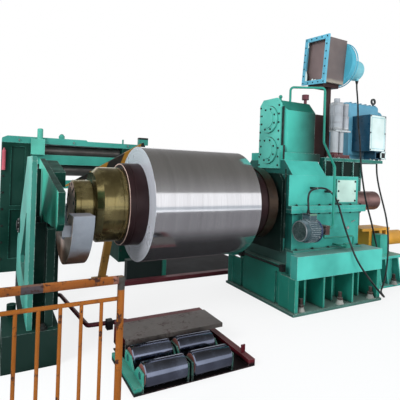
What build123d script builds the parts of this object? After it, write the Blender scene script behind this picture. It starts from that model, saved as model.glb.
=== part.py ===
from build123d import *
import math
import os

os.makedirs("parts", exist_ok=True)

# Sizes in millimetres. X runs along the mandrel towards the drive, Y away from the guard rail, Z up.

# mandrel line
axis_height = 1253.0
coil_left = -2440.0
coil_width = 1250.0
coil_radius = 625.0
sleeve_radius = 440.0
sleeve_left = -2630.0
sleeve_bore_radius = 392.0
drum_radius = 390.0
drum_left = -2925.0
drum_chamfer = 55.0
nose_radius = 252.0
nose_left = -3120.0
neck_radius = 205.0
journal_radius = 170.0
journal_clearance = 1.0
back_flange_radius = 455.0
back_flange_thickness = 130.0
back_flange_right = -815.0
tail_drum_radius = 200.0
tail_drum_length = 290.0
rotary_union_radius = 145.0
rotary_union_end = 1490.0
running_gap = 6.0

# drive base
base_length = 1530.0
base_depth = 1440.0
sole_thickness = 30.0
web_half_depth = 430.0
web_half_length = 725.0
rib_thickness = 24.0
beam_bottom = 420.0
beam_top = 690.0
beam_half_depth = 728.0
beam_half_length = 740.0
beam_lip_depth = 110.0
beam_notch_length = 95.0
deck_top = 530.0
deck_thickness = 30.0

# gearbox
case_left = -635.0
case_right = 535.0
case_half_depth = 504.0
split_height = 1210.0
flange_half_depth = 560.0
flange_left = -700.0
flange_right = 600.0
flange_thickness = 44.0
upper_left = -700.0
upper_right = 505.0
upper_top = 1625.0
shoulder_top = 1805.0
shoulder_half_depth = 350.0
shoulder_right = -95.0
ledge_thickness = 100.0
ledge_left = -650.0
ledge_right = -50.0
ledge_half_depth = 345.0
head_left = ledge_left
head_right = -140.0
head_half_depth = 325.0
head_top = 2570.0
head_eave = 2435.0
head_back = 140.0
head_roof_half = 210.0
head_corner_chamfer = 50.0
cover_radius = 170.0
cover_thickness = 25.0

# outboard stand
stand_left = -3720.0
stand_right = -3290.0
stand_front = -700.0
stand_back = 1250.0
stand_base_height = 300.0
stand_wing_back = -170.0
side_plate_thickness = 40.0
stand_top = 1720.0
arm_x = -3330.0
side_plate_offset = 210.0
side_plate_x = arm_x - side_plate_offset
arm_thickness = 60.0
arm_side_clearance = 10.0
arm_box_depth = 60.0
pivot_y = 750.0
pivot_z = 950.0
pivot_pin_radius = 45.0
saddle_left = -3190.0
saddle_limb_top = 1208.0
saddle_width = 187.0
saddle_outer_radius = 585.0
saddle_inner_radius = 345.0

# roller cradle
roll_radius = 92.0
roll_length = 345.0
roll_height = 112.0
roll_pin_radius = 28.0
cradle_left = -2872.0
side_beam_back = -800.0
back_channel_left = -2770.0
cradle_right = -1800.0
cradle_front = -1395.0
cradle_back = -490.0
channel_width = 62.0
channel_height = 60.0
back_channel_depth = 130.0
cover_height = 200.0

# guard rail
rail_y = -2000.0
rail_height = 1052.0
rail_radius = 22.5
middle_rail_drop = 101.0
middle_rail_radius = 11.0
bottom_rail_z = 120.0
rail_left = -4430.0
rail_right = -3180.0

# entry frame behind the reel
frame_front = 2400.0
frame_depth = 620.0
frame_left = -3730.0
frame_right = -1480.0
frame_top = 2060.0
frame_beam_height = 100.0
frame_foot_width = 410.0


with BuildPart() as drive_sole_plate:
    Box(base_length, base_depth, sole_thickness, align=(Align.CENTER, Align.CENTER, Align.MIN))
drive_sole_plate.part.label = "drive_sole_plate"
export_step(drive_sole_plate.part, "parts/drive_sole_plate.step")


rib_positions = [rib_thickness / 2 - web_half_length, -280.0, 220.0, 690.0]
bay_middles = [(a + b) / 2 for a, b in zip(rib_positions, rib_positions[1:])]
rib_front = base_depth / 2 - 10.0
groove_y = web_half_depth - 60.0
with BuildPart() as drive_base:
    with Locations((0, 0, sole_thickness)):
        Box(
            2 * web_half_length,
            2 * web_half_depth,
            deck_top - sole_thickness,
            align=(Align.CENTER, Align.CENTER, Align.MIN),
        )
    # upright grooves beside the end plates
    for side in (-1, 1):
        for y in (groove_y, -groove_y):
            with Locations((side * web_half_length, y, sole_thickness)):
                Box(50, 70, deck_top - sole_thickness - 90,
                    align=(Align.CENTER, Align.CENTER, Align.MIN), mode=Mode.SUBTRACT)
    for side in (-1, 1):
        for x in rib_positions:
            with Locations((x, side * (web_half_depth + rib_front) / 2, sole_thickness)):
                Box(rib_thickness, rib_front - web_half_depth, beam_bottom - sole_thickness,
                    align=(Align.CENTER, Align.CENTER, Align.MIN))
        # narrow stiffeners in the middle of each bay, and the corner posts
        for x in bay_middles:
            with Locations((x + 60, side * (web_half_depth + 60), sole_thickness)):
                Box(rib_thickness, 120, beam_bottom - sole_thickness, align=(Align.CENTER, Align.CENTER, Align.MIN))
        for end in (-1, 1):
            with Locations((end * (web_half_length - 10), side * (rib_front - 55), sole_thickness)):
                Box(50, 110, beam_bottom - sole_thickness, align=(Align.CENTER, Align.CENTER, Align.MIN))
    # cable holes through the web plates of the first bay
    for side in (-1, 1):
        with BuildSketch(Plane(origin=(bay_middles[0] + 160, side * web_half_depth, 220), z_dir=(0, side, 0))):
            Circle(26)
        extrude(amount=-40, mode=Mode.SUBTRACT)
drive_base.part.label = "drive_base"
export_step(drive_base.part, "parts/drive_base.step")


beam_depth = beam_half_depth - web_half_depth
with BuildPart() as box_beams:
    for side in (-1, 1):
        with Locations((5, side * (web_half_depth + beam_depth / 2), beam_bottom)):
            Box(2 * beam_half_length, beam_depth, beam_top - beam_bottom,
                align=(Align.CENTER, Align.CENTER, Align.MIN))
        with Locations((5 - beam_half_length, side * web_half_depth, beam_bottom)):
            Box(beam_notch_length, 2 * (beam_depth - beam_lip_depth), beam_top - beam_bottom,
                align=(Align.MIN, Align.CENTER, Align.MIN), mode=Mode.SUBTRACT)
box_beams.part.label = "box_beams"
export_step(box_beams.part, "parts/box_beams.step")


anchor_places = [(x, side * 660.0) for x in (-600.0, 50.0, 620.0) for side in (-1, 1)]
anchor_places = anchor_places + [(1514.0, -375.0), (1514.0, 375.0)]
with BuildPart() as anchor_bolts:
    for x, y in anchor_places:
        with Locations((x, y, sole_thickness)):
            Cone(55, 36, 40, align=(Align.CENTER, Align.CENTER, Align.MIN))
        with Locations((x, y, sole_thickness + 40)):
            Cylinder(22, 110, align=(Align.CENTER, Align.CENTER, Align.MIN))
        with BuildSketch(Plane.XY.offset(sole_thickness + 40)):
            with Locations((x, y)):
                RegularPolygon(36, 6)
        extrude(amount=42)
anchor_bolts.part.label = "anchor_bolts"
export_step(anchor_bolts.part, "parts/anchor_bolts.step")


case_length = case_right - case_left
case_middle = (case_right + case_left) / 2
flange_length = flange_right - flange_left
flange_middle = (flange_right + flange_left) / 2
shaft_line = Plane(origin=(0, 0, axis_height), x_dir=(0, 1, 0), z_dir=(1, 0, 0))
bore_radius = journal_radius + journal_clearance
arch_radius = 300.0
boss_half_depth = 380.0
with BuildPart() as gearbox_lower_case:
    with Locations((case_middle, 0, deck_top)):
        Box(case_length, 2 * web_half_depth, beam_top - deck_top, align=(Align.CENTER, Align.CENTER, Align.MIN))
    with Locations((case_middle, 0, beam_top)):
        Box(case_length, 2 * case_half_depth, split_height - beam_top, align=(Align.CENTER, Align.CENTER, Align.MIN))
    with Locations((case_middle, 0, beam_top)):
        Box(case_length + 20, 2 * case_half_depth + 90, 26, align=(Align.CENTER, Align.CENTER, Align.MIN))
    with Locations((flange_middle, 0, split_height - flange_thickness)):
        Box(flange_length, 2 * flange_half_depth, flange_thickness, align=(Align.CENTER, Align.CENTER, Align.MIN))
    with Locations((flange_left, 0, beam_top)):
        Box(case_left - flange_left, 2 * boss_half_depth, split_height - beam_top,
            align=(Align.MIN, Align.CENTER, Align.MIN))
    with BuildSketch(shaft_line.offset(flange_left - 50)):
        Circle(bore_radius)
    extrude(amount=flange_length + 200, mode=Mode.SUBTRACT)
gearbox_lower_case.part.label = "gearbox_lower_case"
export_step(gearbox_lower_case.part, "parts/gearbox_lower_case.step")


upper_length = upper_right - upper_left
with BuildPart() as gearbox_upper_case:
    with Locations((flange_middle, 0, split_height)):
        Box(flange_length, 2 * flange_half_depth, flange_thickness, align=(Align.CENTER, Align.CENTER, Align.MIN))
    with Locations(((upper_left + upper_right) / 2, 0, split_height)):
        Box(upper_length, 2 * case_half_depth, upper_top - split_height,
            align=(Align.CENTER, Align.CENTER, Align.MIN))
    with BuildSketch(Plane.YZ.offset(ledge_left)):
        with BuildLine():
            Polyline(
                (-case_half_depth, upper_top),
                (-shoulder_half_depth, shoulder_top),
                (shoulder_half_depth, shoulder_top),
                (case_half_depth, upper_top),
                close=True,
            )
        make_face()
    extrude(amount=shoulder_right - ledge_left)
    # raised inspection cover on each long side
    for side in (-1, 1):
        with Locations((270, side * case_half_depth, split_height + flange_thickness + 180)):
            Box(370, 28, 310)
    with BuildSketch(shaft_line.offset(flange_left - 50)):
        Circle(bore_radius)
    extrude(amount=flange_length + 200, mode=Mode.SUBTRACT)
gearbox_upper_case.part.label = "gearbox_upper_case"
export_step(gearbox_upper_case.part, "parts/gearbox_upper_case.step")


with BuildPart() as gear_head:
    with Locations(((ledge_left + ledge_right) / 2, 0, shoulder_top)):
        Box(ledge_right - ledge_left, 2 * ledge_half_depth, ledge_thickness,
            align=(Align.CENTER, Align.CENTER, Align.MIN))
    with BuildSketch(Plane.YZ.offset(head_left)):
        with BuildLine():
            Polyline(
                (-head_half_depth, shoulder_top + ledge_thickness),
                (-head_half_depth, head_eave),
                (-head_roof_half, head_top),
                (head_back - 60, head_top),
                (head_back, head_top - 60),
                (head_back, shoulder_top + ledge_thickness),
                close=True,
            )
        make_face()
    extrude(amount=head_right - head_left)
    head_corners = gear_head.edges().filter_by(Axis.Z).filter_by_position(Axis.X, head_left - 1, head_left + 1)
    chamfer([edge for edge in head_corners if edge.center().Z > shoulder_top + ledge_thickness], head_corner_chamfer)
gear_head.part.label = "gear_head"
export_step(gear_head.part, "parts/gear_head.step")


head_plate_thickness = 30.0
head_plate_top = head_top + 28.0
with BuildPart() as head_plate:
    with BuildSketch(Plane.YZ.offset(ledge_left - head_plate_thickness)):
        with BuildLine():
            Polyline(
                (-270, 1700),
                (-270, head_plate_top - 75),
                (-200, head_plate_top),
                (75, head_plate_top),
                (145, head_plate_top - 75),
                (145, 1700),
                close=True,
            )
        make_face()
    extrude(amount=head_plate_thickness)
head_plate.part.label = "head_plate"
export_step(head_plate.part, "parts/head_plate.step")


with BuildPart() as end_covers:
    for z in (1930.0, 2330.0):
        cover_line = Plane(origin=(ledge_left - head_plate_thickness, -60, z), x_dir=(0, 1, 0), z_dir=(1, 0, 0))
        with BuildSketch(cover_line):
            Circle(cover_radius)
        extrude(amount=-cover_thickness)
        with BuildSketch(cover_line.offset(-cover_thickness)):
            Circle(cover_radius - 60)
        extrude(amount=-12)
end_covers.part.label = "end_covers"
export_step(end_covers.part, "parts/end_covers.step")


bearing_plate_thickness = 40.0
with BuildPart() as bearing_plate:
    with BuildSketch(Plane.YZ.offset(flange_left - bearing_plate_thickness)):
        with BuildLine():
            Polyline((-430, beam_top), (-430, 1560), (-360, 1640), (360, 1640), (430, 1560), (430, beam_top), close=True)
        make_face()
    extrude(amount=bearing_plate_thickness)
    with BuildSketch(shaft_line.offset(flange_left - bearing_plate_thickness)):
        Circle(arch_radius)
    extrude(amount=bearing_plate_thickness, mode=Mode.SUBTRACT)
bearing_plate.part.label = "bearing_plate"
export_step(bearing_plate.part, "parts/bearing_plate.step")


pump_axis_y = -650.0
pump_axis_z = 972.0
pump_radius = 135.0
pump_line = Plane(origin=(0, pump_axis_y, pump_axis_z), x_dir=(0, 1, 0), z_dir=(1, 0, 0))
pump_left = -650.0
pump_cowl_length = 70.0
pump_flange_x = -440.0
pump_box_x = pump_left + 155.0
pump_box_height = 80.0
pump_box_top = pump_axis_z + pump_radius - 12 + pump_box_height
with BuildPart() as pump_motor:
    with BuildSketch(pump_line.offset(pump_left)):
        Circle(pump_radius - 12)
    extrude(amount=pump_cowl_length)
    fillet(pump_motor.edges().group_by(Axis.X)[0], 18)
    with BuildSketch(pump_line.offset(pump_left + pump_cowl_length)):
        Circle(pump_radius)
    extrude(amount=pump_flange_x - pump_left - pump_cowl_length)
    with Locations((pump_box_x, pump_axis_y, pump_axis_z + pump_radius - 12)):
        Box(110, 120, pump_box_height, align=(Align.CENTER, Align.CENTER, Align.MIN))
    # foot bracket on the front of the gear case
    with Locations((pump_box_x, -case_half_depth, pump_axis_z)):
        Box(90, 80, 170, align=(Align.CENTER, Align.MAX, Align.CENTER))
pump_motor.part.label = "pump_motor"
export_step(pump_motor.part, "parts/pump_motor.step")


pump_body_end = -285.0
pump_end = -220.0
with BuildPart() as oil_pump:
    with BuildSketch(pump_line.offset(pump_flange_x)):
        Circle(pump_radius + 8)
    extrude(amount=26)
    with BuildSketch(pump_line.offset(pump_flange_x + 26)):
        Circle(110)
    extrude(amount=70, taper=25)
    with BuildSketch(pump_line.offset(pump_flange_x + 96)):
        Circle(66)
    extrude(amount=pump_body_end - pump_flange_x - 96)
    with Locations((pump_body_end, pump_axis_y, pump_axis_z)):
        Box(pump_end - pump_body_end, 120, 110, align=(Align.MIN, Align.CENTER, Align.CENTER))
oil_pump.part.label = "oil_pump"
export_step(oil_pump.part, "parts/oil_pump.step")


pipe_radius = 15.0
pipe_rise_x = -455.0
pipe_rise_y = -190.0
pipe_drop_x = -10.0
pipe_level = head_top + 190.0
pump_pipe_x = -105.0
with BuildPart() as lube_pipe:
    with BuildLine() as lube_path:
        FilletPolyline(
            (pipe_rise_x, pipe_rise_y, head_top),
            (pipe_rise_x, pipe_rise_y, pipe_level),
            (pipe_drop_x, pipe_rise_y - 165, pipe_level + 20),
            (pipe_drop_x, pipe_rise_y - 175, 2060),
            (pump_pipe_x, pump_axis_y, 1740),
            (pump_pipe_x, pump_axis_y, pump_axis_z + 20),
            (pump_end, pump_axis_y, pump_axis_z + 20),
            radius=48,
        )
    with BuildSketch(Plane(origin=lube_path.line @ 0, z_dir=lube_path.line % 0)):
        Circle(pipe_radius)
    sweep()
lube_pipe.part.label = "lube_pipe"
export_step(lube_pipe.part, "parts/lube_pipe.step")


outlet_start_x = pump_end - 32.0
outlet_start_z = pump_axis_z - 55.0
outlet_z = outlet_start_z - 50.0
outlet_low_z = outlet_z - 115.0
outlet_right = 270.0
with BuildPart() as pump_outlet_pipe:
    with BuildLine() as outlet_path:
        FilletPolyline(
            (outlet_start_x, pump_axis_y, outlet_start_z),
            (outlet_start_x, pump_axis_y, outlet_z),
            (outlet_right, pump_axis_y, outlet_z),
            (outlet_right, pump_axis_y, outlet_low_z),
            (outlet_right - 200, pump_axis_y, outlet_low_z),
            (outlet_right - 200, -case_half_depth, outlet_low_z),
            radius=24,
        )
    with BuildSketch(Plane(origin=outlet_path.line @ 0, z_dir=outlet_path.line % 0)):
        Circle(pipe_radius - 3)
    sweep()
    # hand valve on the return leg
    with Locations((outlet_right - 110, pump_axis_y, outlet_low_z)):
        Box(80, 56, 56)
pump_outlet_pipe.part.label = "pump_outlet_pipe"
export_step(pump_outlet_pipe.part, "parts/pump_outlet_pipe.step")


breather_x = -175.0
breather_y = -170.0
plug_x = -540.0
with BuildPart() as breather_cap:
    with Locations((breather_x, breather_y, head_top)):
        Cylinder(20, 60, align=(Align.CENTER, Align.CENTER, Align.MIN))
    with Locations((breather_x, breather_y, head_top + 60)):
        Cylinder(46, 65, align=(Align.CENTER, Align.CENTER, Align.MIN))
    with Locations((plug_x, -100, head_top)):
        Cylinder(16, 90, align=(Align.CENTER, Align.CENTER, Align.MIN))
    with Locations((plug_x, -100, head_top + 60)):
        Cylinder(24, 18, align=(Align.CENTER, Align.CENTER, Align.MIN))
breather_cap.part.label = "breather_cap"
export_step(breather_cap.part, "parts/breather_cap.step")


platform_top = 1870.0
platform_thickness = 45.0
platform_left = 60.0
platform_right = 1230.0
platform_back_right = 1500.0
platform_front = -330.0
platform_back = 520.0
tail_base_left = 1200.0
tail_base_right = 1800.0
tail_base_half_depth = 320.0
tail_base_top = 440.0
with BuildPart() as motor_platform:
    with BuildSketch(Plane.XY.offset(platform_top)):
        with BuildLine():
            Polyline(
                (platform_left, platform_front),
                (platform_right, platform_front),
                (platform_right, -40),
                (platform_back_right, -40),
                (platform_back_right, platform_back),
                (platform_left, platform_back),
                close=True,
            )
        make_face()
    extrude(amount=-platform_thickness)
    # low stools on the gear case
    for x in (platform_left, 420.0):
        for y in (platform_front + 30, 0.0, platform_back - 110):
            with Locations((x, y, upper_top)):
                Box(70, 80, platform_top - platform_thickness - upper_top, align=(Align.MIN, Align.MIN, Align.MIN))
    # legs behind the mandrel tail
    for x in (tail_base_left + 20, platform_back_right - 90):
        with Locations((x, tail_base_half_depth - 90, tail_base_top)):
            Box(60, 60, platform_top - platform_thickness - tail_base_top, align=(Align.MIN, Align.MIN, Align.MIN))
motor_platform.part.label = "motor_platform"
export_step(motor_platform.part, "parts/motor_platform.step")


motor_left = 850.0
motor_right = 1500.0
motor_front = -20.0
motor_back = 460.0
motor_foot_height = 50.0
motor_body_top = 2745.0
motor_corner = 60.0
bell_right = 1640.0
motor_mid_y = (motor_front + motor_back) / 2
motor_body_bottom = platform_top + motor_foot_height
eye_x = motor_right - 30.0
eye_y = motor_front + 70.0
with BuildPart() as main_motor:
    with Locations(((motor_left + motor_right) / 2, motor_mid_y, platform_top)):
        Box(motor_right - motor_left - 80, 420, 110, align=(Align.CENTER, Align.CENTER, Align.MIN))
    with BuildSketch(Plane.YZ.offset(motor_left)):
        with Locations((motor_mid_y, (motor_body_bottom + motor_body_top) / 2)):
            RectangleRounded(motor_back - motor_front, motor_body_top - motor_body_bottom, motor_corner)
    extrude(amount=motor_right - motor_left)
    # narrower end bell on the far side
    with BuildSketch(Plane.YZ.offset(motor_right)):
        with Locations((motor_mid_y, (motor_body_bottom + motor_body_top) / 2 - 20)):
            RectangleRounded(motor_back - motor_front - 60, motor_body_top - motor_body_bottom - 100, 90)
    extrude(amount=bell_right - motor_right)
    with Locations((eye_x, eye_y, motor_body_top - 5)):
        Cylinder(16, 35, align=(Align.CENTER, Align.CENTER, Align.MIN))
    with BuildSketch(Plane(origin=(eye_x, eye_y + 12, motor_body_top + 75), z_dir=(0, -1, 0))):
        Circle(50)
        Circle(28, mode=Mode.SUBTRACT)
    extrude(amount=24)
main_motor.part.label = "main_motor"
export_step(main_motor.part, "parts/main_motor.step")


terminal_front = -330.0
terminal_left = 930.0
terminal_right = 1280.0
terminal_bottom = 2000.0
with BuildPart() as terminal_box:
    with Locations((terminal_left, terminal_front, terminal_bottom)):
        Box(terminal_right - terminal_left, motor_front - terminal_front, 530,
            align=(Align.MIN, Align.MIN, Align.MIN))
    with Locations((terminal_right + 15, terminal_front + 20, terminal_bottom)):
        Box(210, 200, 112, align=(Align.MAX, Align.MIN, Align.MAX))
    with Locations((terminal_right - 5, terminal_front + 20, terminal_bottom - 12)):
        Box(170, 120, 88, align=(Align.MAX, Align.MIN, Align.MAX), mode=Mode.SUBTRACT)
terminal_box.part.label = "terminal_box"
export_step(terminal_box.part, "parts/terminal_box.step")


duct_left = 220.0
duct_length = 365.0
duct_right = duct_left + duct_length
duct_width = 400.0
duct_height = 620.0
duct_mid_y = 55.0
duct_mid_z = 3272.0
duct_tilt = 5.0
duct_wall = 16.0
duct_frame_margin = 28.0
duct_frame_thickness = 30.0
duct_side = (0, math.cos(math.radians(duct_tilt)), math.sin(math.radians(duct_tilt)))
duct_line = Plane(origin=(duct_left, duct_mid_y, duct_mid_z), x_dir=duct_side, z_dir=(1, 0, 0))
with BuildPart() as blower_duct:
    with BuildSketch(duct_line):
        Rectangle(duct_width, duct_height)
    extrude(amount=duct_length)
    # the mouth is open as far as the filter mat
    with BuildSketch(duct_line):
        Rectangle(duct_width - 2 * duct_wall, duct_height - 2 * duct_wall)
    extrude(amount=60, mode=Mode.SUBTRACT)
blower_duct.part.label = "blower_duct"
export_step(blower_duct.part, "parts/blower_duct.step")


with BuildPart() as blower_inlet_frame:
    with BuildSketch(duct_line):
        Rectangle(duct_width + 2 * duct_frame_margin, duct_height + 2 * duct_frame_margin)
        Rectangle(duct_width - 60, duct_height - 60, mode=Mode.SUBTRACT)
    extrude(amount=-duct_frame_thickness)
blower_inlet_frame.part.label = "blower_inlet_frame"
export_step(blower_inlet_frame.part, "parts/blower_inlet_frame.step")


fan_radius = duct_height / 2 + 18.0
fan_depth = 150.0
fan_line = Plane(origin=(duct_right, duct_mid_y, duct_mid_z), x_dir=(0, 1, 0), z_dir=(1, 0, 0))
with BuildPart() as fan_casing:
    with BuildSketch(fan_line):
        Circle(fan_radius)
    extrude(amount=fan_depth)
    fillet(fan_casing.edges().group_by(Axis.X)[-1], 100)
fan_casing.part.label = "fan_casing"
export_step(fan_casing.part, "parts/fan_casing.step")


fan_motor_drop = 25.0
fan_motor_radius = 150.0
fan_motor_length = 355.0
gland_x = duct_right + fan_depth + 280.0
gland_y = duct_mid_y - 55.0
gland_bottom = duct_mid_z - fan_motor_drop - fan_motor_radius - 20.0
with BuildPart() as fan_motor:
    with BuildSketch(fan_line.offset(fan_depth)):
        with Locations((0, -fan_motor_drop)):
            Circle(fan_motor_radius)
    extrude(amount=fan_motor_length)
    fillet(fan_motor.edges().group_by(Axis.X)[-1], 50)
    # cable gland below the motor
    with Locations((gland_x, gland_y, gland_bottom)):
        Cylinder(26, 60, align=(Align.CENTER, Align.CENTER, Align.MIN))
fan_motor.part.label = "fan_motor"
export_step(fan_motor.part, "parts/fan_motor.step")


post_left = 395.0
post_right = 455.0
post_front = duct_mid_y - 75.0
saddle_block_height = 60.0
duct_underside = duct_mid_z - duct_height / 2
with BuildPart() as blower_post:
    with Locations((post_left, post_front, platform_top)):
        Box(post_right - post_left, 80, duct_underside - 30 - platform_top, align=(Align.MIN, Align.MIN, Align.MIN))
    # seat under the duct, tilted with it
    with BuildSketch(duct_line.offset(30)):
        with Locations((0, -duct_height / 2)):
            Rectangle(duct_width - 100, saddle_block_height, align=(Align.CENTER, Align.MAX))
    extrude(amount=duct_length - 60)
    # wide lower column
    with Locations((post_left + 2, duct_mid_y - 60, platform_top)):
        Box(230, 200, 620, align=(Align.MAX, Align.MIN, Align.MIN))
blower_post.part.label = "blower_post"
export_step(blower_post.part, "parts/blower_post.step")


thruster_y = -230.0
thruster_base_height = 50.0
thruster_flange_z = platform_top + 370.0
thruster_flange_thickness = 20.0
thruster_foot_height = thruster_flange_z - platform_top - thruster_base_height
thruster_seat_z = thruster_flange_z + thruster_flange_thickness
with BuildPart() as brake_thruster:
    with Locations((415, thruster_y, platform_top)):
        Box(300, 130, thruster_base_height, align=(Align.CENTER, Align.CENTER, Align.MIN))
    # two narrow feet carry the flange
    for x, radius in ((325.0, 55.0), (440.0, 45.0)):
        with Locations((x, thruster_y, platform_top + thruster_base_height)):
            Cylinder(radius, thruster_foot_height, align=(Align.CENTER, Align.CENTER, Align.MIN))
    with Locations((430, thruster_y, thruster_flange_z)):
        Box(280, 130, thruster_flange_thickness, align=(Align.CENTER, Align.CENTER, Align.MIN))
    # wide lift cylinder with its cap
    with Locations((355, thruster_y, thruster_seat_z)):
        Cylinder(83, 380, align=(Align.CENTER, Align.CENTER, Align.MIN))
    with Locations((355, thruster_y, thruster_seat_z + 380)):
        Cylinder(40, 60, align=(Align.CENTER, Align.CENTER, Align.MIN))
    # slim motor beside it
    with Locations((512, thruster_y, thruster_seat_z)):
        Cylinder(58, 200, align=(Align.CENTER, Align.CENTER, Align.MIN))
    with Locations((512, thruster_y, thruster_seat_z + 200)):
        Cylinder(50, 180, align=(Align.CENTER, Align.CENTER, Align.MIN))
brake_thruster.part.label = "brake_thruster"
export_step(brake_thruster.part, "parts/brake_thruster.step")


tail_plate_thickness = 40.0
tail_core_half_depth = 200.0
tail_core_inset = 60.0
with BuildPart() as tail_base:
    with Locations((base_length / 2, 0, 0)):
        Box(tail_base_right - base_length / 2, 2 * tail_base_half_depth + 150, sole_thickness,
            align=(Align.MIN, Align.CENTER, Align.MIN))
    with Locations(((tail_base_left + tail_base_right) / 2, 0, tail_base_top)):
        Box(tail_base_right - tail_base_left, 2 * tail_base_half_depth, tail_plate_thickness,
            align=(Align.CENTER, Align.CENTER, Align.MAX))
    with Locations(((tail_base_left + tail_base_right) / 2, 0, sole_thickness)):
        Box(tail_base_right - tail_base_left - 2 * tail_core_inset, 2 * tail_core_half_depth,
            tail_base_top - tail_plate_thickness - sole_thickness, align=(Align.CENTER, Align.CENTER, Align.MIN))
    # sloping gussets along both long sides
    for x in (tail_base_left + tail_core_inset, 1420.0, tail_base_right - tail_core_inset - rib_thickness):
        for side in (-1, 1):
            with BuildSketch(Plane.YZ.offset(x)):
                with BuildLine():
                    Polyline(
                        (side * tail_core_half_depth, sole_thickness),
                        (side * (tail_base_half_depth + 30), sole_thickness),
                        (side * (tail_base_half_depth - 30), tail_base_top - tail_plate_thickness),
                        (side * tail_core_half_depth, tail_base_top - tail_plate_thickness),
                        close=True,
                    )
                make_face()
            extrude(amount=rib_thickness)
tail_base.part.label = "tail_base"
export_step(tail_base.part, "parts/tail_base.step")


pedestal_left = 1275.0
pedestal_right = 1470.0
pedestal_front = -tail_base_half_depth + 10.0
pedestal_back = -150.0
with BuildPart() as cylinder_pedestal:
    with Locations((pedestal_left, pedestal_front, tail_base_top)):
        Box(pedestal_right - pedestal_left, pedestal_back - pedestal_front, 22, align=(Align.MIN, Align.MIN, Align.MIN))
    with Locations((pedestal_left + 15, pedestal_front + 15, tail_base_top + 22)):
        Box(pedestal_right - pedestal_left - 30, pedestal_back - pedestal_front - 15, 300,
            align=(Align.MIN, Align.MIN, Align.MIN))
cylinder_pedestal.part.label = "cylinder_pedestal"
export_step(cylinder_pedestal.part, "parts/cylinder_pedestal.step")


cylinder_axis_z = 645.0
cylinder_radius = 115.0
yoke_left = tail_base_left - 130.0
yoke_right = 1700.0
yoke_top = 840.0
with BuildPart() as hydraulic_cylinder:
    # yellow yoke frame under the mandrel tail
    with Locations((yoke_left, pedestal_back, yoke_top)):
        Box(yoke_right - yoke_left, 300, 40, align=(Align.MIN, Align.MIN, Align.MAX))
    for x in (tail_base_left + 20, tail_base_left + 260, yoke_right - 90):
        with Locations((x, pedestal_back, tail_base_top)):
            Box(60, 300, yoke_top - 40 - tail_base_top, align=(Align.MIN, Align.MIN, Align.MIN))
    with BuildSketch(Plane(origin=(tail_base_left + 80, 0, cylinder_axis_z), x_dir=(0, 1, 0), z_dir=(1, 0, 0))):
        Circle(cylinder_radius)
    extrude(amount=2130 - tail_base_left - 80)
hydraulic_cylinder.part.label = "hydraulic_cylinder"
export_step(hydraulic_cylinder.part, "parts/hydraulic_cylinder.step")


rod_z = 512.0
rod_x = -web_half_length - 22.0
with BuildPart() as locking_rod:
    with Locations(Plane(origin=(rod_x, -500, rod_z), z_dir=(0, 1, 0))):
        Cylinder(13, 900, align=(Align.CENTER, Align.CENTER, Align.MIN))
    for y in (-520.0, 330.0):
        with Locations((-web_half_length, y, rod_z - 40)):
            Box(60, 50, 80, align=(Align.MAX, Align.MIN, Align.MIN))
locking_rod.part.label = "locking_rod"
export_step(locking_rod.part, "parts/locking_rod.step")


# rotating mandrel line
mandrel_line = Plane(origin=(0, 0, axis_height), x_dir=(0, 1, 0), z_dir=(1, 0, 0))
back_flange_left = back_flange_right - back_flange_thickness
tail_left = flange_right + 20.0
with BuildPart() as mandrel:
    with BuildSketch(mandrel_line.offset(nose_left)):
        Circle(nose_radius)
    extrude(amount=180)
    with BuildSketch(mandrel_line.offset(nose_left + 180)):
        Circle(neck_radius)
    extrude(amount=drum_left - nose_left - 180)
    with BuildSketch(mandrel_line.offset(drum_left)):
        Circle(drum_radius - drum_chamfer)
    extrude(amount=drum_chamfer, taper=-45)
    with BuildSketch(mandrel_line.offset(drum_left + drum_chamfer)):
        Circle(drum_radius)
    extrude(amount=back_flange_left - drum_left - drum_chamfer)
    with BuildSketch(mandrel_line.offset(back_flange_left)):
        Circle(journal_radius)
    extrude(amount=tail_left - back_flange_left)
    with BuildSketch(mandrel_line.offset(tail_left)):
        Circle(tail_drum_radius)
    extrude(amount=tail_drum_length)
    with BuildSketch(mandrel_line.offset(tail_left + tail_drum_length)):
        Circle(rotary_union_radius)
    extrude(amount=rotary_union_end - tail_left - tail_drum_length)
    fillet(mandrel.edges().group_by(Axis.X)[-1], 25)
mandrel.part.label = "mandrel"
export_step(mandrel.part, "parts/mandrel.step")


with BuildPart() as back_flange:
    with BuildSketch(mandrel_line.offset(back_flange_left)):
        Circle(back_flange_radius)
        Circle(journal_radius, mode=Mode.SUBTRACT)
    extrude(amount=back_flange_thickness)
back_flange.part.label = "back_flange"
export_step(back_flange.part, "parts/back_flange.step")


with BuildPart() as coil_sleeve:
    with BuildSketch(mandrel_line.offset(sleeve_left)):
        Circle(sleeve_radius)
        Circle(drum_radius, mode=Mode.SUBTRACT)
    extrude(amount=back_flange_left - sleeve_left)
coil_sleeve.part.label = "coil_sleeve"
export_step(coil_sleeve.part, "parts/coil_sleeve.step")


with BuildPart() as coil:
    with BuildSketch(mandrel_line.offset(coil_left)):
        Circle(coil_radius)
        Circle(sleeve_radius, mode=Mode.SUBTRACT)
    extrude(amount=coil_width)
coil.part.label = "coil"
export_step(coil.part, "parts/coil.step")


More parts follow.
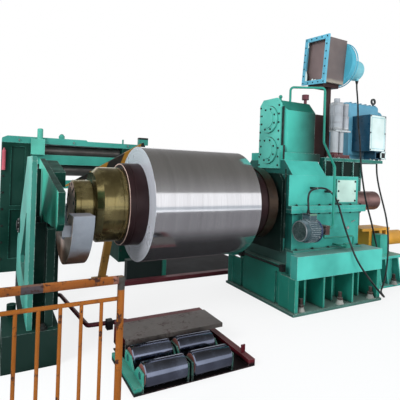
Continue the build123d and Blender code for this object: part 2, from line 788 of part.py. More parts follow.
# outboard support
side_plate_right = side_plate_x + side_plate_thickness
column_right = arm_x - arm_side_clearance
fork_left = arm_x + arm_thickness + arm_side_clearance
fork_right = -3130.0
fork_front = 620.0
fork_back = 940.0
fork_top = pivot_z + 110.0
with BuildPart() as stand_base:
    with Locations((side_plate_x, stand_front, 0)):
        Box(stand_right - side_plate_x, stand_back - stand_front, stand_base_height,
            align=(Align.MIN, Align.MIN, Align.MIN))
    # wing on the operator's side, with a filler boss
    with Locations((stand_left, stand_front, 0)):
        Box(side_plate_x - stand_left, stand_wing_back - stand_front, stand_base_height,
            align=(Align.MIN, Align.MIN, Align.MIN))
    with Locations(((stand_left + side_plate_x) / 2 - 10, stand_wing_back - 90, stand_base_height)):
        Cylinder(38, 105, align=(Align.CENTER, Align.CENTER, Align.MIN))
    with Locations((stand_right - 10, fork_front - 70, 0)):
        Box(fork_right - stand_right + 10, stand_back - fork_front + 70, stand_base_height,
            align=(Align.MIN, Align.MIN, Align.MIN))
stand_base.part.label = "stand_base"
export_step(stand_base.part, "parts/stand_base.step")


with BuildPart() as stand_side_plate:
    with BuildSketch(Plane.YZ.offset(side_plate_x)):
        with BuildLine():
            Polyline(
                (-650, stand_base_height),
                (-650, stand_top - 40),
                (-610, stand_top),
                (-90, stand_top),
                (-20, stand_top - 80),
                (1150, 720),
                (1150, stand_base_height),
                close=True,
            )
        make_face()
    extrude(amount=side_plate_thickness)
    with BuildSketch(Plane.YZ.offset(side_plate_x)):
        with BuildLine():
            Polyline((-230, 1205), (-180, 1205), (430, 680), (410, 600), (-210, 540), close=True)
        make_face()
    extrude(amount=side_plate_thickness, mode=Mode.SUBTRACT)
    # curved slot near the top
    with BuildSketch(Plane.YZ.offset(side_plate_x)):
        SlotArc(arc=ThreePointArc((-120, 1655), (-320, 1570), (-470, 1430)), height=46)
    extrude(amount=side_plate_thickness, mode=Mode.SUBTRACT)
stand_side_plate.part.label = "stand_side_plate"
export_step(stand_side_plate.part, "parts/stand_side_plate.step")


with BuildPart() as stand_columns:
    with Locations((column_right, stand_front + 60, stand_base_height)):
        Box(65, 120, 820, align=(Align.MAX, Align.MIN, Align.MIN))
    with Locations((side_plate_right, fork_front, stand_base_height)):
        Box(column_right - side_plate_right, fork_back - fork_front, fork_top - stand_base_height,
            align=(Align.MIN, Align.MIN, Align.MIN))
    with Locations((fork_left, fork_front, stand_base_height)):
        Box(fork_right - fork_left, fork_back - fork_front, fork_top - stand_base_height,
            align=(Align.MIN, Align.MIN, Align.MIN))
    # pivot pin through both cheeks of the fork
    with BuildSketch(Plane(origin=(column_right, pivot_y, pivot_z), x_dir=(0, 1, 0), z_dir=(1, 0, 0))):
        Circle(pivot_pin_radius)
    extrude(amount=fork_left - column_right)
stand_columns.part.label = "stand_columns"
export_step(stand_columns.part, "parts/stand_columns.step")


arm_box_front = 300.0
arm_block_bottom = 1410.0
eye_y = pivot_y + 190.0
eye_z = pivot_z - 265.0
eye_radius = 85.0
with BuildPart() as support_arm:
    with BuildSketch(Plane.YZ.offset(arm_x)):
        with BuildLine():
            Polyline(
                (1050, 1640),
                (1000, stand_top),
                (-640, 1425),
                (-640, 1150),
                (-560, 1085),
                (-150, 1085),
                (330, 1050),
                (560, 1120),
                (pivot_y - 100, pivot_z - 60),
                (eye_y - eye_radius, eye_z),
                (eye_y + eye_radius, eye_z),
                (pivot_y + 130, pivot_z),
                (880, 1180),
                (1050, 1400),
                close=True,
            )
        make_face()
        with Locations((eye_y, eye_z)):
            Circle(eye_radius)
            Circle(36, mode=Mode.SUBTRACT)
        with Locations((pivot_y, pivot_z)):
            Circle(pivot_pin_radius + 1, mode=Mode.SUBTRACT)
        # curved slot in the plate
        SlotArc(arc=ThreePointArc((250, 1345), (170, 1240), (130, 1130)), height=30, mode=Mode.SUBTRACT)
    extrude(amount=arm_thickness)
    with BuildSketch(Plane.YZ.offset(arm_x + arm_thickness)):
        with BuildLine():
            Polyline(
                (1000, stand_top - 20),
                (arm_box_front, 1570),
                (arm_box_front, 1180),
                (560, 1180),
                (1000, 1420),
                close=True,
            )
        make_face()
    extrude(amount=saddle_left - arm_x - arm_thickness)
    with BuildSketch(Plane.YZ.offset(saddle_left)):
        with BuildLine():
            Polyline(
                (1000, stand_top - 20),
                (arm_box_front, 1570),
                (arm_box_front, arm_block_bottom),
                (985, arm_block_bottom),
                close=True,
            )
        make_face()
    extrude(amount=arm_box_depth)
support_arm.part.label = "support_arm"
export_step(support_arm.part, "parts/support_arm.step")


# half ring below the nose, both limbs cut at the same height, and a web to the arm
saddle_limb = saddle_limb_top - axis_height
with BuildPart() as saddle:
    with BuildSketch(Plane(origin=(saddle_left, 0, axis_height), x_dir=(0, 1, 0), z_dir=(1, 0, 0))):
        Circle(saddle_outer_radius)
        Circle(saddle_inner_radius, mode=Mode.SUBTRACT)
        with Locations((0, saddle_limb)):
            Rectangle(3 * saddle_outer_radius, 2 * saddle_outer_radius, align=(Align.CENTER, Align.MIN), mode=Mode.SUBTRACT)
    extrude(amount=saddle_width)
    with BuildSketch(Plane.YZ.offset(arm_x + arm_thickness)):
        with BuildLine():
            Polyline((-510, 1020), (-510, 1120), (-390, 1120), (-390, 1020), close=True)
        make_face()
        with BuildLine():
            Polyline((370, 1070), (370, 1175), (540, 1175), (540, 1120), close=True)
        make_face()
    extrude(amount=saddle_left - arm_x - arm_thickness)
saddle.part.label = "saddle"
export_step(saddle.part, "parts/saddle.step")


# roller cradle
roll_front_y = -1330.0
roll_back_y = -1040.0
roll_columns = (-2790.0, -2383.0)
bearer_thickness = 14.0
bearer_gap = 6.0
floor_sheet = 8.0
sheet_left = cradle_left + channel_width
sheet_right = cradle_right - channel_width
with BuildPart() as cradle_frame:
    # side beam by the rail post, side channel, back channel and floor sheet
    with Locations((cradle_left, cradle_front, 0)):
        Box(channel_width, side_beam_back - cradle_front, channel_height, align=(Align.MIN, Align.MIN, Align.MIN))
    with Locations((sheet_right, cradle_front, 0)):
        Box(channel_width, cradle_back - cradle_front, channel_height, align=(Align.MIN, Align.MIN, Align.MIN))
    with Locations((back_channel_left, cradle_back - back_channel_depth, 0)):
        Box(sheet_right - back_channel_left, back_channel_depth, cover_height,
            align=(Align.MIN, Align.MIN, Align.MIN))
    with Locations((sheet_left, cradle_front, 0)):
        Box(sheet_right - sheet_left, cradle_back - cradle_front - back_channel_depth, floor_sheet,
            align=(Align.MIN, Align.MIN, Align.MIN))
    # lug on top of the right channel
    with Locations((cradle_right - channel_width + 10, cradle_front + 130, channel_height)):
        Box(40, 10, 70, align=(Align.MIN, Align.MIN, Align.MIN))
cradle_frame.part.label = "cradle_frame"
export_step(cradle_frame.part, "parts/cradle_frame.step")


bearer_positions = []
for x in roll_columns:
    bearer_positions.append(x - bearer_gap - bearer_thickness)
    bearer_positions.append(x + roll_length + bearer_gap)
bearer_mid_y = (roll_front_y + roll_back_y) / 2
with BuildPart() as roll_bearers:
    for x in bearer_positions:
        with BuildSketch(Plane.YZ.offset(x)):
            with BuildLine():
                Polyline(
                    (roll_front_y - 60, floor_sheet),
                    (roll_front_y - 60, roll_height + 38),
                    (roll_front_y + 55, roll_height + 38),
                    (bearer_mid_y, roll_height - 52),
                    (roll_back_y - 55, roll_height + 38),
                    (roll_back_y + 65, roll_height + 38),
                    (roll_back_y + 85, floor_sheet),
                    close=True,
                )
            make_face()
            with Locations((roll_front_y, roll_height), (roll_back_y, roll_height)):
                Circle(roll_pin_radius + 1, mode=Mode.SUBTRACT)
        extrude(amount=bearer_thickness)
roll_bearers.part.label = "roll_bearers"
export_step(roll_bearers.part, "parts/roll_bearers.step")


roll_places = {
    "cradle_roll_back_left": (roll_columns[0], roll_back_y),
    "cradle_roll_back_right": (roll_columns[1], roll_back_y),
    "cradle_roll_front_left": (roll_columns[0], roll_front_y),
    "cradle_roll_front_right": (roll_columns[1], roll_front_y),
}
for name, place in roll_places.items():
    roll_line = Plane(origin=(place[0], place[1], roll_height), x_dir=(0, 1, 0), z_dir=(1, 0, 0))
    with BuildPart() as cradle_roll:
        with BuildSketch(roll_line):
            Circle(roll_radius)
        extrude(amount=roll_length)
        with BuildSketch(roll_line.offset(-bearer_gap - bearer_thickness)):
            Circle(roll_pin_radius)
        extrude(amount=roll_length + 2 * bearer_gap + 2 * bearer_thickness)
    cradle_roll.part.label = name
    export_step(cradle_roll.part, "parts/" + name + ".step")


cover_left = cradle_left + channel_width + 15.0
cover_right = cradle_right - 65.0
cover_front = roll_back_y + 77.0
cover_back = cradle_back - back_channel_depth
with BuildPart() as cover_plate:
    with BuildSketch(Plane.YZ.offset(cover_left)):
        with BuildLine():
            Polyline(
                (cover_back + 20, cover_height),
                (cover_back + 20, cover_height + 16),
                (cover_front, cover_height + 16),
                (cover_front, cover_height - 22),
                (cover_front + 12, cover_height - 22),
                (cover_front + 12, cover_height),
                close=True,
            )
        make_face()
    extrude(amount=cover_right - cover_left)
    # front skirt down to the floor sheet
    with Locations((cover_left, cover_front + 38, floor_sheet)):
        Box(cover_right - cover_left - 110, 12, cover_height - floor_sheet, align=(Align.MIN, Align.MIN, Align.MIN))
cover_plate.part.label = "cover_plate"
export_step(cover_plate.part, "parts/cover_plate.step")


floor_pipe_radius = 22.0
floor_pipe_z = 60.0
clamp_x = -2730.0
clamp_width = 60.0
with BuildPart() as floor_pipe:
    with BuildLine() as floor_pipe_path:
        FilletPolyline(
            (fork_right, 880, floor_pipe_z),
            (-3060, 880, floor_pipe_z),
            (-2945, -160, floor_pipe_z),
            (-2560, -185, floor_pipe_z),
            (-2560, cradle_back, floor_pipe_z),
            radius=30,
        )
    with BuildSketch(Plane(origin=floor_pipe_path.line @ 0, z_dir=floor_pipe_path.line % 0)):
        Circle(floor_pipe_radius)
    sweep()
    # clamp block that holds the pipe on the floor
    with Locations((clamp_x, -174, 0)):
        Box(clamp_width, 80, floor_pipe_z + floor_pipe_radius + 8, align=(Align.CENTER, Align.CENTER, Align.MIN))
floor_pipe.part.label = "floor_pipe"
export_step(floor_pipe.part, "parts/floor_pipe.step")


# guard rail
baluster_step = 103.0
rail_length = rail_right - rail_left
baluster_top = rail_height - middle_rail_drop
with BuildPart() as guard_rail:
    for z, radius in ((rail_height, rail_radius), (baluster_top, middle_rail_radius), (bottom_rail_z, 12.0)):
        with Locations(Plane(origin=(rail_left, rail_y, z), z_dir=(1, 0, 0))):
            Cylinder(radius, rail_length, align=(Align.CENTER, Align.CENTER, Align.MIN))
    for x in (rail_left, rail_right):
        with Locations((x, rail_y, 0)):
            Cylinder(rail_radius - 3, rail_height, align=(Align.CENTER, Align.CENTER, Align.MIN))
        with Locations((x, rail_y, rail_height)):
            Sphere(rail_radius)
    for count in range(1, 12):
        with Locations((rail_right - count * baluster_step, rail_y, bottom_rail_z)):
            Cylinder(9.5, baluster_top - bottom_rail_z, align=(Align.CENTER, Align.CENTER, Align.MIN))
guard_rail.part.label = "guard_rail"
export_step(guard_rail.part, "parts/guard_rail.step")


# entry frame with two rolls
entry_roll_radius = 95.0
entry_roll_pin = 40.0
entry_y = frame_front + 200.0
entry_roll_heights = (1560.0, 1860.0)
entry_pin_length = 110.0
inner_left = frame_left + frame_foot_width
inner_right = frame_right - frame_foot_width
beam_bottom_z = frame_top - frame_beam_height
with BuildPart() as entry_housings:
    for x in (frame_left, inner_right):
        with Locations((x, frame_front, 0)):
            Box(frame_foot_width, frame_depth, beam_bottom_z, align=(Align.MIN, Align.MIN, Align.MIN))
        # recessed front panel between two flanges
        with Locations((x + 130, frame_front, 1000)):
            Box(frame_foot_width - 220, 60, beam_bottom_z - 1060, align=(Align.MIN, Align.CENTER, Align.MIN),
                mode=Mode.SUBTRACT)
        with Locations((x + 130, frame_front, 200)):
            Box(frame_foot_width - 220, 60, 740, align=(Align.MIN, Align.CENTER, Align.MIN), mode=Mode.SUBTRACT)
    for z in entry_roll_heights:
        for x in (inner_left - entry_pin_length, inner_right):
            with BuildSketch(Plane(origin=(x, entry_y, z), x_dir=(0, 1, 0), z_dir=(1, 0, 0))):
                Circle(entry_roll_pin + 1)
            extrude(amount=entry_pin_length, mode=Mode.SUBTRACT)
entry_housings.part.label = "entry_housings"
export_step(entry_housings.part, "parts/entry_housings.step")


beam_step_x = -2500.0
with BuildPart() as entry_top_beam:
    with BuildSketch(Plane.XZ.offset(-frame_front)):
        with BuildLine():
            Polyline(
                (frame_left, beam_bottom_z),
                (frame_left, frame_top - 35),
                (frame_left + 70, frame_top),
                (beam_step_x, frame_top),
                (beam_step_x + 20, frame_top - 22),
                (frame_right, frame_top - 22),
                (frame_right, beam_bottom_z),
                close=True,
            )
        make_face()
    extrude(amount=-frame_depth)
entry_top_beam.part.label = "entry_top_beam"
export_step(entry_top_beam.part, "parts/entry_top_beam.step")


with BuildPart() as entry_crossbeams:
    for z, height in ((1645.0, 150.0), (1265.0, 130.0)):
        with Locations((inner_left, frame_front, z)):
            Box(inner_right - inner_left, 90, height, align=(Align.MIN, Align.MIN, Align.MIN))
entry_crossbeams.part.label = "entry_crossbeams"
export_step(entry_crossbeams.part, "parts/entry_crossbeams.step")


for name, z in (("entry_roll_lower", entry_roll_heights[0]), ("entry_roll_upper", entry_roll_heights[1])):
    roll_line = Plane(origin=(inner_left + running_gap, entry_y, z), x_dir=(0, 1, 0), z_dir=(1, 0, 0))
    with BuildPart() as entry_roll:
        with BuildSketch(roll_line):
            Circle(entry_roll_radius)
        extrude(amount=inner_right - inner_left - 2 * running_gap)
        with BuildSketch(roll_line.offset(-running_gap - entry_pin_length + 10)):
            Circle(entry_roll_pin)
        extrude(amount=inner_right - inner_left + 2 * entry_pin_length - 20)
    entry_roll.part.label = name
    export_step(entry_roll.part, "parts/" + name + ".step")


jack_left = inner_left - 16.0
jack_width = 194.0
with BuildPart() as screw_jack:
    with Locations((jack_left, frame_front, frame_top - 270)):
        Box(jack_width, 100, 240, align=(Align.MIN, Align.MAX, Align.MIN))
    with Locations((jack_left + 125, frame_front - 50, frame_top - 30)):
        Cylinder(42, 165, align=(Align.CENTER, Align.CENTER, Align.MIN))
    fillet(screw_jack.edges().group_by(Axis.Z)[-1], 20)
screw_jack.part.label = "screw_jack"
export_step(screw_jack.part, "parts/screw_jack.step")


with BuildPart() as frame_top_fittings:
    # domed lifting plug, stud and lamp block on the top beam
    with Locations((-2870, frame_front + 120, frame_top)):
        Cylinder(46, 50, align=(Align.CENTER, Align.CENTER, Align.MIN))
    with Locations((-2870, frame_front + 120, frame_top + 45)):
        Sphere(38)
    with Locations((-1850, frame_front + 120, frame_top - 22)):
        Cylinder(14, 80, align=(Align.CENTER, Align.CENTER, Align.MIN))
    with Locations((frame_right - 25, frame_front + 60, frame_top - 22)):
        Box(170, 80, 130, align=(Align.CENTER, Align.CENTER, Align.MIN))
frame_top_fittings.part.label = "frame_top_fittings"
export_step(frame_top_fittings.part, "parts/frame_top_fittings.step")


with BuildPart() as strip_peeler:
    # sloping yellow and black guide beam, its gusset and its post
    with BuildSketch(Plane.XZ.offset(-1500)):
        with BuildLine():
            Polyline(
                (-2990, 1330),
                (-1830, 2025),
                (-1780, 1890),
                (-2420, 1510),
                (-2700, 1440),
                close=True,
            )
        make_face()
    extrude(amount=-90)
    # leaning leg on a foot plate
    with BuildSketch(Plane.XZ.offset(-1500)):
        with BuildLine():
            Polyline((-2440, 0), (-2185, 1700), (-2090, 1700), (-2345, 0), close=True)
        make_face()
    extrude(amount=-90)
    with Locations((-2520, 1460, 0)):
        Box(235, 170, 20, align=(Align.MIN, Align.MIN, Align.MIN))
strip_peeler.part.label = "strip_peeler"
export_step(strip_peeler.part, "parts/strip_peeler.step")


channel_left = -2250.0
channel_right = 150.0
channel_front = 1085.0
channel_depth = 100.0
with BuildPart() as floor_channel:
    # red floor beam that runs past behind the drive stand
    with Locations((channel_left, channel_front, 0)):
        Box(channel_right - channel_left, channel_depth, 60, align=(Align.MIN, Align.MIN, Align.MIN))
floor_channel.part.label = "floor_channel"
export_step(floor_channel.part, "parts/floor_channel.step")


with BuildPart() as floor_plate:
    with Locations((-1450, channel_front + channel_depth, 0)):
        Box(channel_right + 1450, frame_front - channel_front - channel_depth, 12,
            align=(Align.MIN, Align.MIN, Align.MIN))
floor_plate.part.label = "floor_plate"
export_step(floor_plate.part, "parts/floor_plate.step")


with BuildPart() as valve_block:
    with Locations((-2080, 1330, 0)):
        Box(550, 120, 290, align=(Align.MIN, Align.MIN, Align.MIN))
    with Locations((-1530, 1310, 0)):
        Box(60, 160, 300, align=(Align.MIN, Align.MIN, Align.MIN))
valve_block.part.label = "valve_block"
export_step(valve_block.part, "parts/valve_block.step")


# cables of the pump motor and the blower motor
cable_diameter = 24.0
clip_cable_y = -590.0
pump_cable_points = [
    (pump_box_x - 25, pump_axis_y, pump_box_top),
    (pump_box_x - 25, pump_axis_y, 1260),
    (-522, -640, 1350),
    (-480, -612, 1425),
    (-400, clip_cable_y - 10, 1463),
    (-285, clip_cable_y - 10, 1480),
    (-155, clip_cable_y, 1462),
    (-45, clip_cable_y, 1395),
    (28, -600, 1285),
    (66, -625, 1140),
    (88, -668, 985),
    (112, -728, 820),
    (150, -772, 665),
    (222, -795, 540),
    (320, -815, 415),
    (435, -826, 295),
    (560, -818, 185),
    (690, -788, 95),
    (815, -728, 36),
    (915, -645, 14),
    (1000, -550, 13),
    (1085, -480, 16),
    (1165, -446, 48),
    (1222, -434, 135),
    (1262, -428, 265),
    (1300, -416, 430),
    (1325, -402, 620),
    (1345, -375, 830),
    (1335, -345, 1040),
    (1305, -300, 1250),
    (1268, -262, 1450),
    (1254, -226, 1640),
    (1268, -202, 1790),
    (1268, -202, terminal_bottom - 112),
]
blower_cable_points = [
    (gland_x, gland_y, gland_bottom),
    (gland_x, gland_y, 2990),
    (1000, -25, 2895),
    (965, -65, 2800),
    (912, -120, 2690),
    (835, -190, 2560),
    (750, -270, 2380),
    (700, -345, 2170),
    (655, -400, 1960),
    (635, -435, 1760),
    (652, -458, 1565),
    (700, -460, 1380),
    (785, -440, 1210),
    (895, -412, 1050),
    (990, -388, 880),
    (1085, -355, 730),
    (1172, -318, 625),
    (1225, -292, 530),
    (1225, -292, tail_base_top),
]
cable_routes = {"pump_motor_cable": pump_cable_points, "blower_motor_cable": blower_cable_points}
for name, points in cable_routes.items():
    runs = [Vector(*b) - Vector(*a) for a, b in zip(points, points[1:])]
    bend_radii = []
    for before, after in zip(runs, runs[1:]):
        half_turn = math.radians(before.get_angle(after)) / 2
        bend_radii.append(0.45 * min(before.length, after.length) / math.tan(half_turn))
    with BuildPart() as cable:
        with BuildLine() as cable_path:
            FilletPolyline(*points, radius=bend_radii)
        with BuildSketch(Plane(origin=cable_path.line @ 0, z_dir=cable_path.line % 0)):
            Circle(cable_diameter / 2)
        sweep()
    print(name, "bend radii", [round(radius) for radius in bend_radii])
    path_length = sum(edge.length for edge in cable_path.line.edges())
    tube_volume = path_length * math.pi * (cable_diameter / 2) ** 2
    print(name, "length", round(path_length), "volume", round(cable.part.volume), "of", round(tube_volume))
    cable.part.label = name
    export_step(cable.part, "parts/" + name + ".step")


clip_width = 34.0
clip_gap = 0.3
with BuildPart() as cable_clips:
    # brackets on the gear case that the pump cable lies on
    for x, y, z in ((-345.0, clip_cable_y - 10, 1471.0), (-100.0, clip_cable_y, 1428.5)):
        clip_front = y + cable_diameter / 2 + clip_gap
        with Locations((x, clip_front, z)):
            Box(clip_width, -case_half_depth - clip_front, 26, align=(Align.CENTER, Align.MIN, Align.CENTER))
cable_clips.part.label = "cable_clips"
export_step(cable_clips.part, "parts/cable_clips.step")
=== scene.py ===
"""Looks of the payoff reel section of a strip leveling line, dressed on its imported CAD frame."""

import logging
import math
from dataclasses import asdict, dataclass, fields
from enum import Enum
from typing import ClassVar, Dict, Iterable, List, Optional, Sequence, Tuple, Union

import bmesh
import bpy
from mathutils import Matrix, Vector


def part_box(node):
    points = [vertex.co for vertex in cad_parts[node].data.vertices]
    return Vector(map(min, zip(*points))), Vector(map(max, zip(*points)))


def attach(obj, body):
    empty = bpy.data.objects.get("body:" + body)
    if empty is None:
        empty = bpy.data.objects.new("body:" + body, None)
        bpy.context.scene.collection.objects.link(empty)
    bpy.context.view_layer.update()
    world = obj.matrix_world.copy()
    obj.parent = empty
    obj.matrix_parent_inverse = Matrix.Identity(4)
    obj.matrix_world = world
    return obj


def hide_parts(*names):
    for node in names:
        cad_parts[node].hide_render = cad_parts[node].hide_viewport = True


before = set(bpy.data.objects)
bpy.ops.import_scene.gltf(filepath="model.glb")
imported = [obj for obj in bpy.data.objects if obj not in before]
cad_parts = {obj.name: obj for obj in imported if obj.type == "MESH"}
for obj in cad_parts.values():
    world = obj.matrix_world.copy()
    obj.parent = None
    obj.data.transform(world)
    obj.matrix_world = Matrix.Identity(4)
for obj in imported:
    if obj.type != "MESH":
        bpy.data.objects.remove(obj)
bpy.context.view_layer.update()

log = logging.getLogger("payoff_reel")

Colour = Tuple[float, float, float]
Point = Tuple[float, float, float]
Number = Union[float, "Value"]
Spot = Tuple[Vector, Vector]
Triple = Sequence[float]
Piece = bpy.types.Object
Socket = bpy.types.NodeSocket

TO_DRIVE = (1, 0, 0)
TO_NOSE = (-1, 0, 0)
TO_RAIL = (0, -1, 0)
UP = (0, 0, 1)
DOWN = (0, 0, -1)
WHITE = (1, 1, 1)
DEEP_SHARE = 0.74
PALE_SHARE = 1.14
PALE_LIFT = 0.01


def tone(red: int, green: int, blue: int) -> Colour:
    """Turns an 8-bit screen colour into the linear numbers a shader takes."""
    channels = [c / 255 for c in (red, green, blue)]
    return tuple(c / 12.92 if c <= 0.04045 else ((c + 0.055) / 1.055) ** 2.4 for c in channels)


def deep_and_pale(colour: Colour) -> Tuple[Colour, Colour]:
    """The dark and the pale form of a paint's colour."""
    return tuple(c * DEEP_SHARE for c in colour), tuple(min(1.0, c * PALE_SHARE + PALE_LIFT) for c in colour)


def linked(name: str, data: bpy.types.ID) -> Piece:
    """Adds an object to the scene.

    Args:
        name: Its name.
        data: Its mesh, curve, lamp or camera.

    Returns:
        The object.
    """
    thing = bpy.data.objects.new(name, data)
    bpy.context.scene.collection.objects.link(thing)
    return thing


def crosswise(axis: Triple) -> Tuple[Vector, Vector, Vector]:
    """Gives the three directions that a turned solid needs.

    Args:
        axis: Where its axis points.

    Returns:
        That direction at length 1, with two more square to it and to each other.
    """
    along = Vector(axis).normalized()
    side = along.orthogonal().normalized()
    return along, side, along.cross(side)


def circle(centre: Vector, side: Vector, third: Vector, radius: float, count: int,
           start: float = 0.0) -> List[Vector]:
    """Points on a circle, in order from one direction across its axis to the other."""
    turns = (start + 2 * math.pi * i / count for i in range(count))
    return [centre + (side * math.cos(a) + third * math.sin(a)) * radius for a in turns]


class Axis(Enum):
    """Directions of the frame."""

    X = 0
    Y = 1
    Z = 2


class Value:
    """A number socket of a node tree that takes the ordinary operators."""

    def __init__(self, writer: "NodeWriter", socket: Socket) -> None:
        """Keeps the tree's writer and the output socket that carries the number."""
        self.writer = writer
        self.socket = socket

    def __add__(self, other: Number) -> "Value":
        """Sum."""
        return self.writer.math("ADD", self, other)

    __radd__ = __add__

    def __sub__(self, other: Number) -> "Value":
        """Difference."""
        return self.writer.math("SUBTRACT", self, other)

    def __rsub__(self, other: Number) -> "Value":
        """Difference from a plain number."""
        return self.writer.math("SUBTRACT", other, self)

    def __mul__(self, other: Number) -> "Value":
        """Product."""
        return self.writer.math("MULTIPLY", self, other)

    __rmul__ = __mul__

    def __truediv__(self, other: Number) -> "Value":
        """Quotient."""
        return self.writer.math("DIVIDE", self, other)

    def __pow__(self, other: Number) -> "Value":
        """Power."""
        return self.writer.math("POWER", self, other)

    def fract(self) -> "Value":
        """What is left over a whole number."""
        return self.writer.math("FRACT", self)

    def size(self) -> "Value":
        """Absolute value."""
        return self.writer.math("ABSOLUTE", self)

    def ramp(self, low: float, high: float) -> "Value":
        """Smooth step from 0 at low to 1 at high.

        Args:
            low: Where the step starts.
            high: Where it ends; below low it runs downwards.

        Returns:
            The stepped value, between 0 and 1.
        """
        flipped = high < low
        first, last = (high, low) if flipped else (low, high)
        node = self.writer.node(
            "ShaderNodeMapRange", {"interpolation_type": "SMOOTHSTEP"}, {0: self, 1: first, 2: last}
        )
        step = Value(self.writer, node.outputs[0])
        return 1 - step if flipped else step


class NodeWriter:
    """Writes nodes into any tree."""

    def __init__(self, tree: bpy.types.NodeTree) -> None:
        """Keeps the tree to write in, emptied."""
        self.tree = tree
        self.tree.nodes.clear()

    def node(self, kind: str, settings: Optional[Dict] = None,
             inputs: Optional[Dict] = None) -> bpy.types.Node:
        """Adds any node.

        Args:
            kind: The node's type.
            settings: Properties, set first.
            inputs: Values or links by socket name or number.

        Returns:
            The new node.
        """
        node = self.tree.nodes.new(kind)
        for key, value in (settings or {}).items():
            setattr(node, key, value)
        for key, value in (inputs or {}).items():
            self.feed(node.inputs[key], value)
        return node

    def feed(self, socket: Socket, value: object) -> None:
        """Links a socket or sets its value.

        Args:
            socket: The input.
            value: A Value, an output socket, a number, a vector or a colour.
        """
        if isinstance(value, Value):
            value = value.socket
        if isinstance(value, Socket):
            self.tree.links.new(value, socket)
        elif socket.type == "RGBA" and len(value) == 3:
            socket.default_value = (*value, 1)
        else:
            socket.default_value = value

    def math(self, operation: str, *values: Number) -> Value:
        """Adds a Math node."""
        node = self.node("ShaderNodeMath", {"operation": operation}, dict(enumerate(values)))
        return Value(self, node.outputs[0])


class Shader(NodeWriter):
    """Writes one node material on Object coordinates."""

    SAMPLES = 4

    def __init__(self, name: str) -> None:
        """Starts an empty material.

        Args:
            name: The material's name.
        """
        self.material = bpy.data.materials.new(name)
        self.material.use_nodes = True
        super().__init__(self.material.node_tree)
        self.output = self.node("ShaderNodeOutputMaterial")
        self.surface = self.node("ShaderNodeBsdfPrincipled")
        self.feed(self.output.inputs[0], self.surface.outputs[0])
        self.place = self.node("ShaderNodeTexCoord").outputs["Object"]
        self.normal = self.node("ShaderNodeNewGeometry").outputs["Normal"]

    def noise(self, scale: float, detail: float = 4, rough: float = 0.55,
              stretch: Point = (1, 1, 1)) -> Value:
        """Adds a noise pattern.

        Args:
            scale: Waves per metre.
            detail: Octaves.
            rough: How strong the fine octaves are.
            stretch: Factors on the three coordinates.

        Returns:
            The noise, about 0.3 to 0.7.
        """
        mapped = self.node("ShaderNodeMapping", None, {0: self.place, 3: stretch}).outputs[0]
        waves = {"Vector": mapped, "Scale": scale, "Detail": detail, "Roughness": rough}
        return Value(self, self.node("ShaderNodeTexNoise", None, waves).outputs[0])

    def part(self, vector: Socket, axis: Axis) -> Value:
        """One coordinate of a vector."""
        parts = self.node("ShaderNodeSeparateXYZ", None, {0: vector})
        return Value(self, parts.outputs[axis.value])

    def along(self, axis: Axis) -> Value:
        """Position along one axis, in metres."""
        return self.part(self.place, axis)

    def facing(self, axis: Axis) -> Value:
        """How far the surface faces along one axis, -1 to 1."""
        return self.part(self.normal, axis)

    def edges(self, width: float) -> Value:
        """1 on edges and corners that stick out or in, 0 on flat faces.

        Args:
            width: Width of the band along an edge, in metres.

        Returns:
            The edge mask.
        """
        rounded = self.node("ShaderNodeBevel", {"samples": self.SAMPLES}, {"Radius": width}).outputs[0]
        same = self.node("ShaderNodeVectorMath", {"operation": "DOT_PRODUCT"}, {0: rounded, 1: self.normal})
        return Value(self, same.outputs["Value"]).ramp(0.995, 0.85)

    def hollows(self, reach: float) -> Value:
        """1 deep in corners and gaps, 0 where no neighbour is within reach, in metres."""
        node = self.node("ShaderNodeAmbientOcclusion", {"samples": self.SAMPLES}, {"Distance": reach})
        return 1 - Value(self, node.outputs["AO"])

    def mix(self, factor: Number, first: object, second: object) -> Socket:
        """Mixes two colours, with the factor as the second one's share."""
        return self.node("ShaderNodeMix", {"data_type": "RGBA"}, {0: factor, 6: first, 7: second}).outputs[2]

    def bump(self, height: Value, strength: float, distance: float) -> None:
        """Feeds a bump into the surface's normal; a height of 1 stands the distance up, in metres."""
        relief = {"Height": height, "Strength": strength, "Distance": distance}
        self.feed(self.surface.inputs["Normal"], self.node("ShaderNodeBump", None, relief).outputs[0])

    def set(self, **values: object) -> None:
        """Feeds sockets of the surface by name, with _ for a space."""
        for key, value in values.items():
            self.feed(self.surface.inputs[key.replace("_", " ")], value)


@dataclass(frozen=True)
class Finish:
    """What every finish can do."""

    def build(self, name: str) -> bpy.types.Material:
        """Makes the material under a name."""
        shader = Shader(name)
        self.write(shader)
        return shader.material

    def write(self, shader: Shader) -> None:
        """Writes the nodes of a material that is still empty."""
        raise NotImplementedError


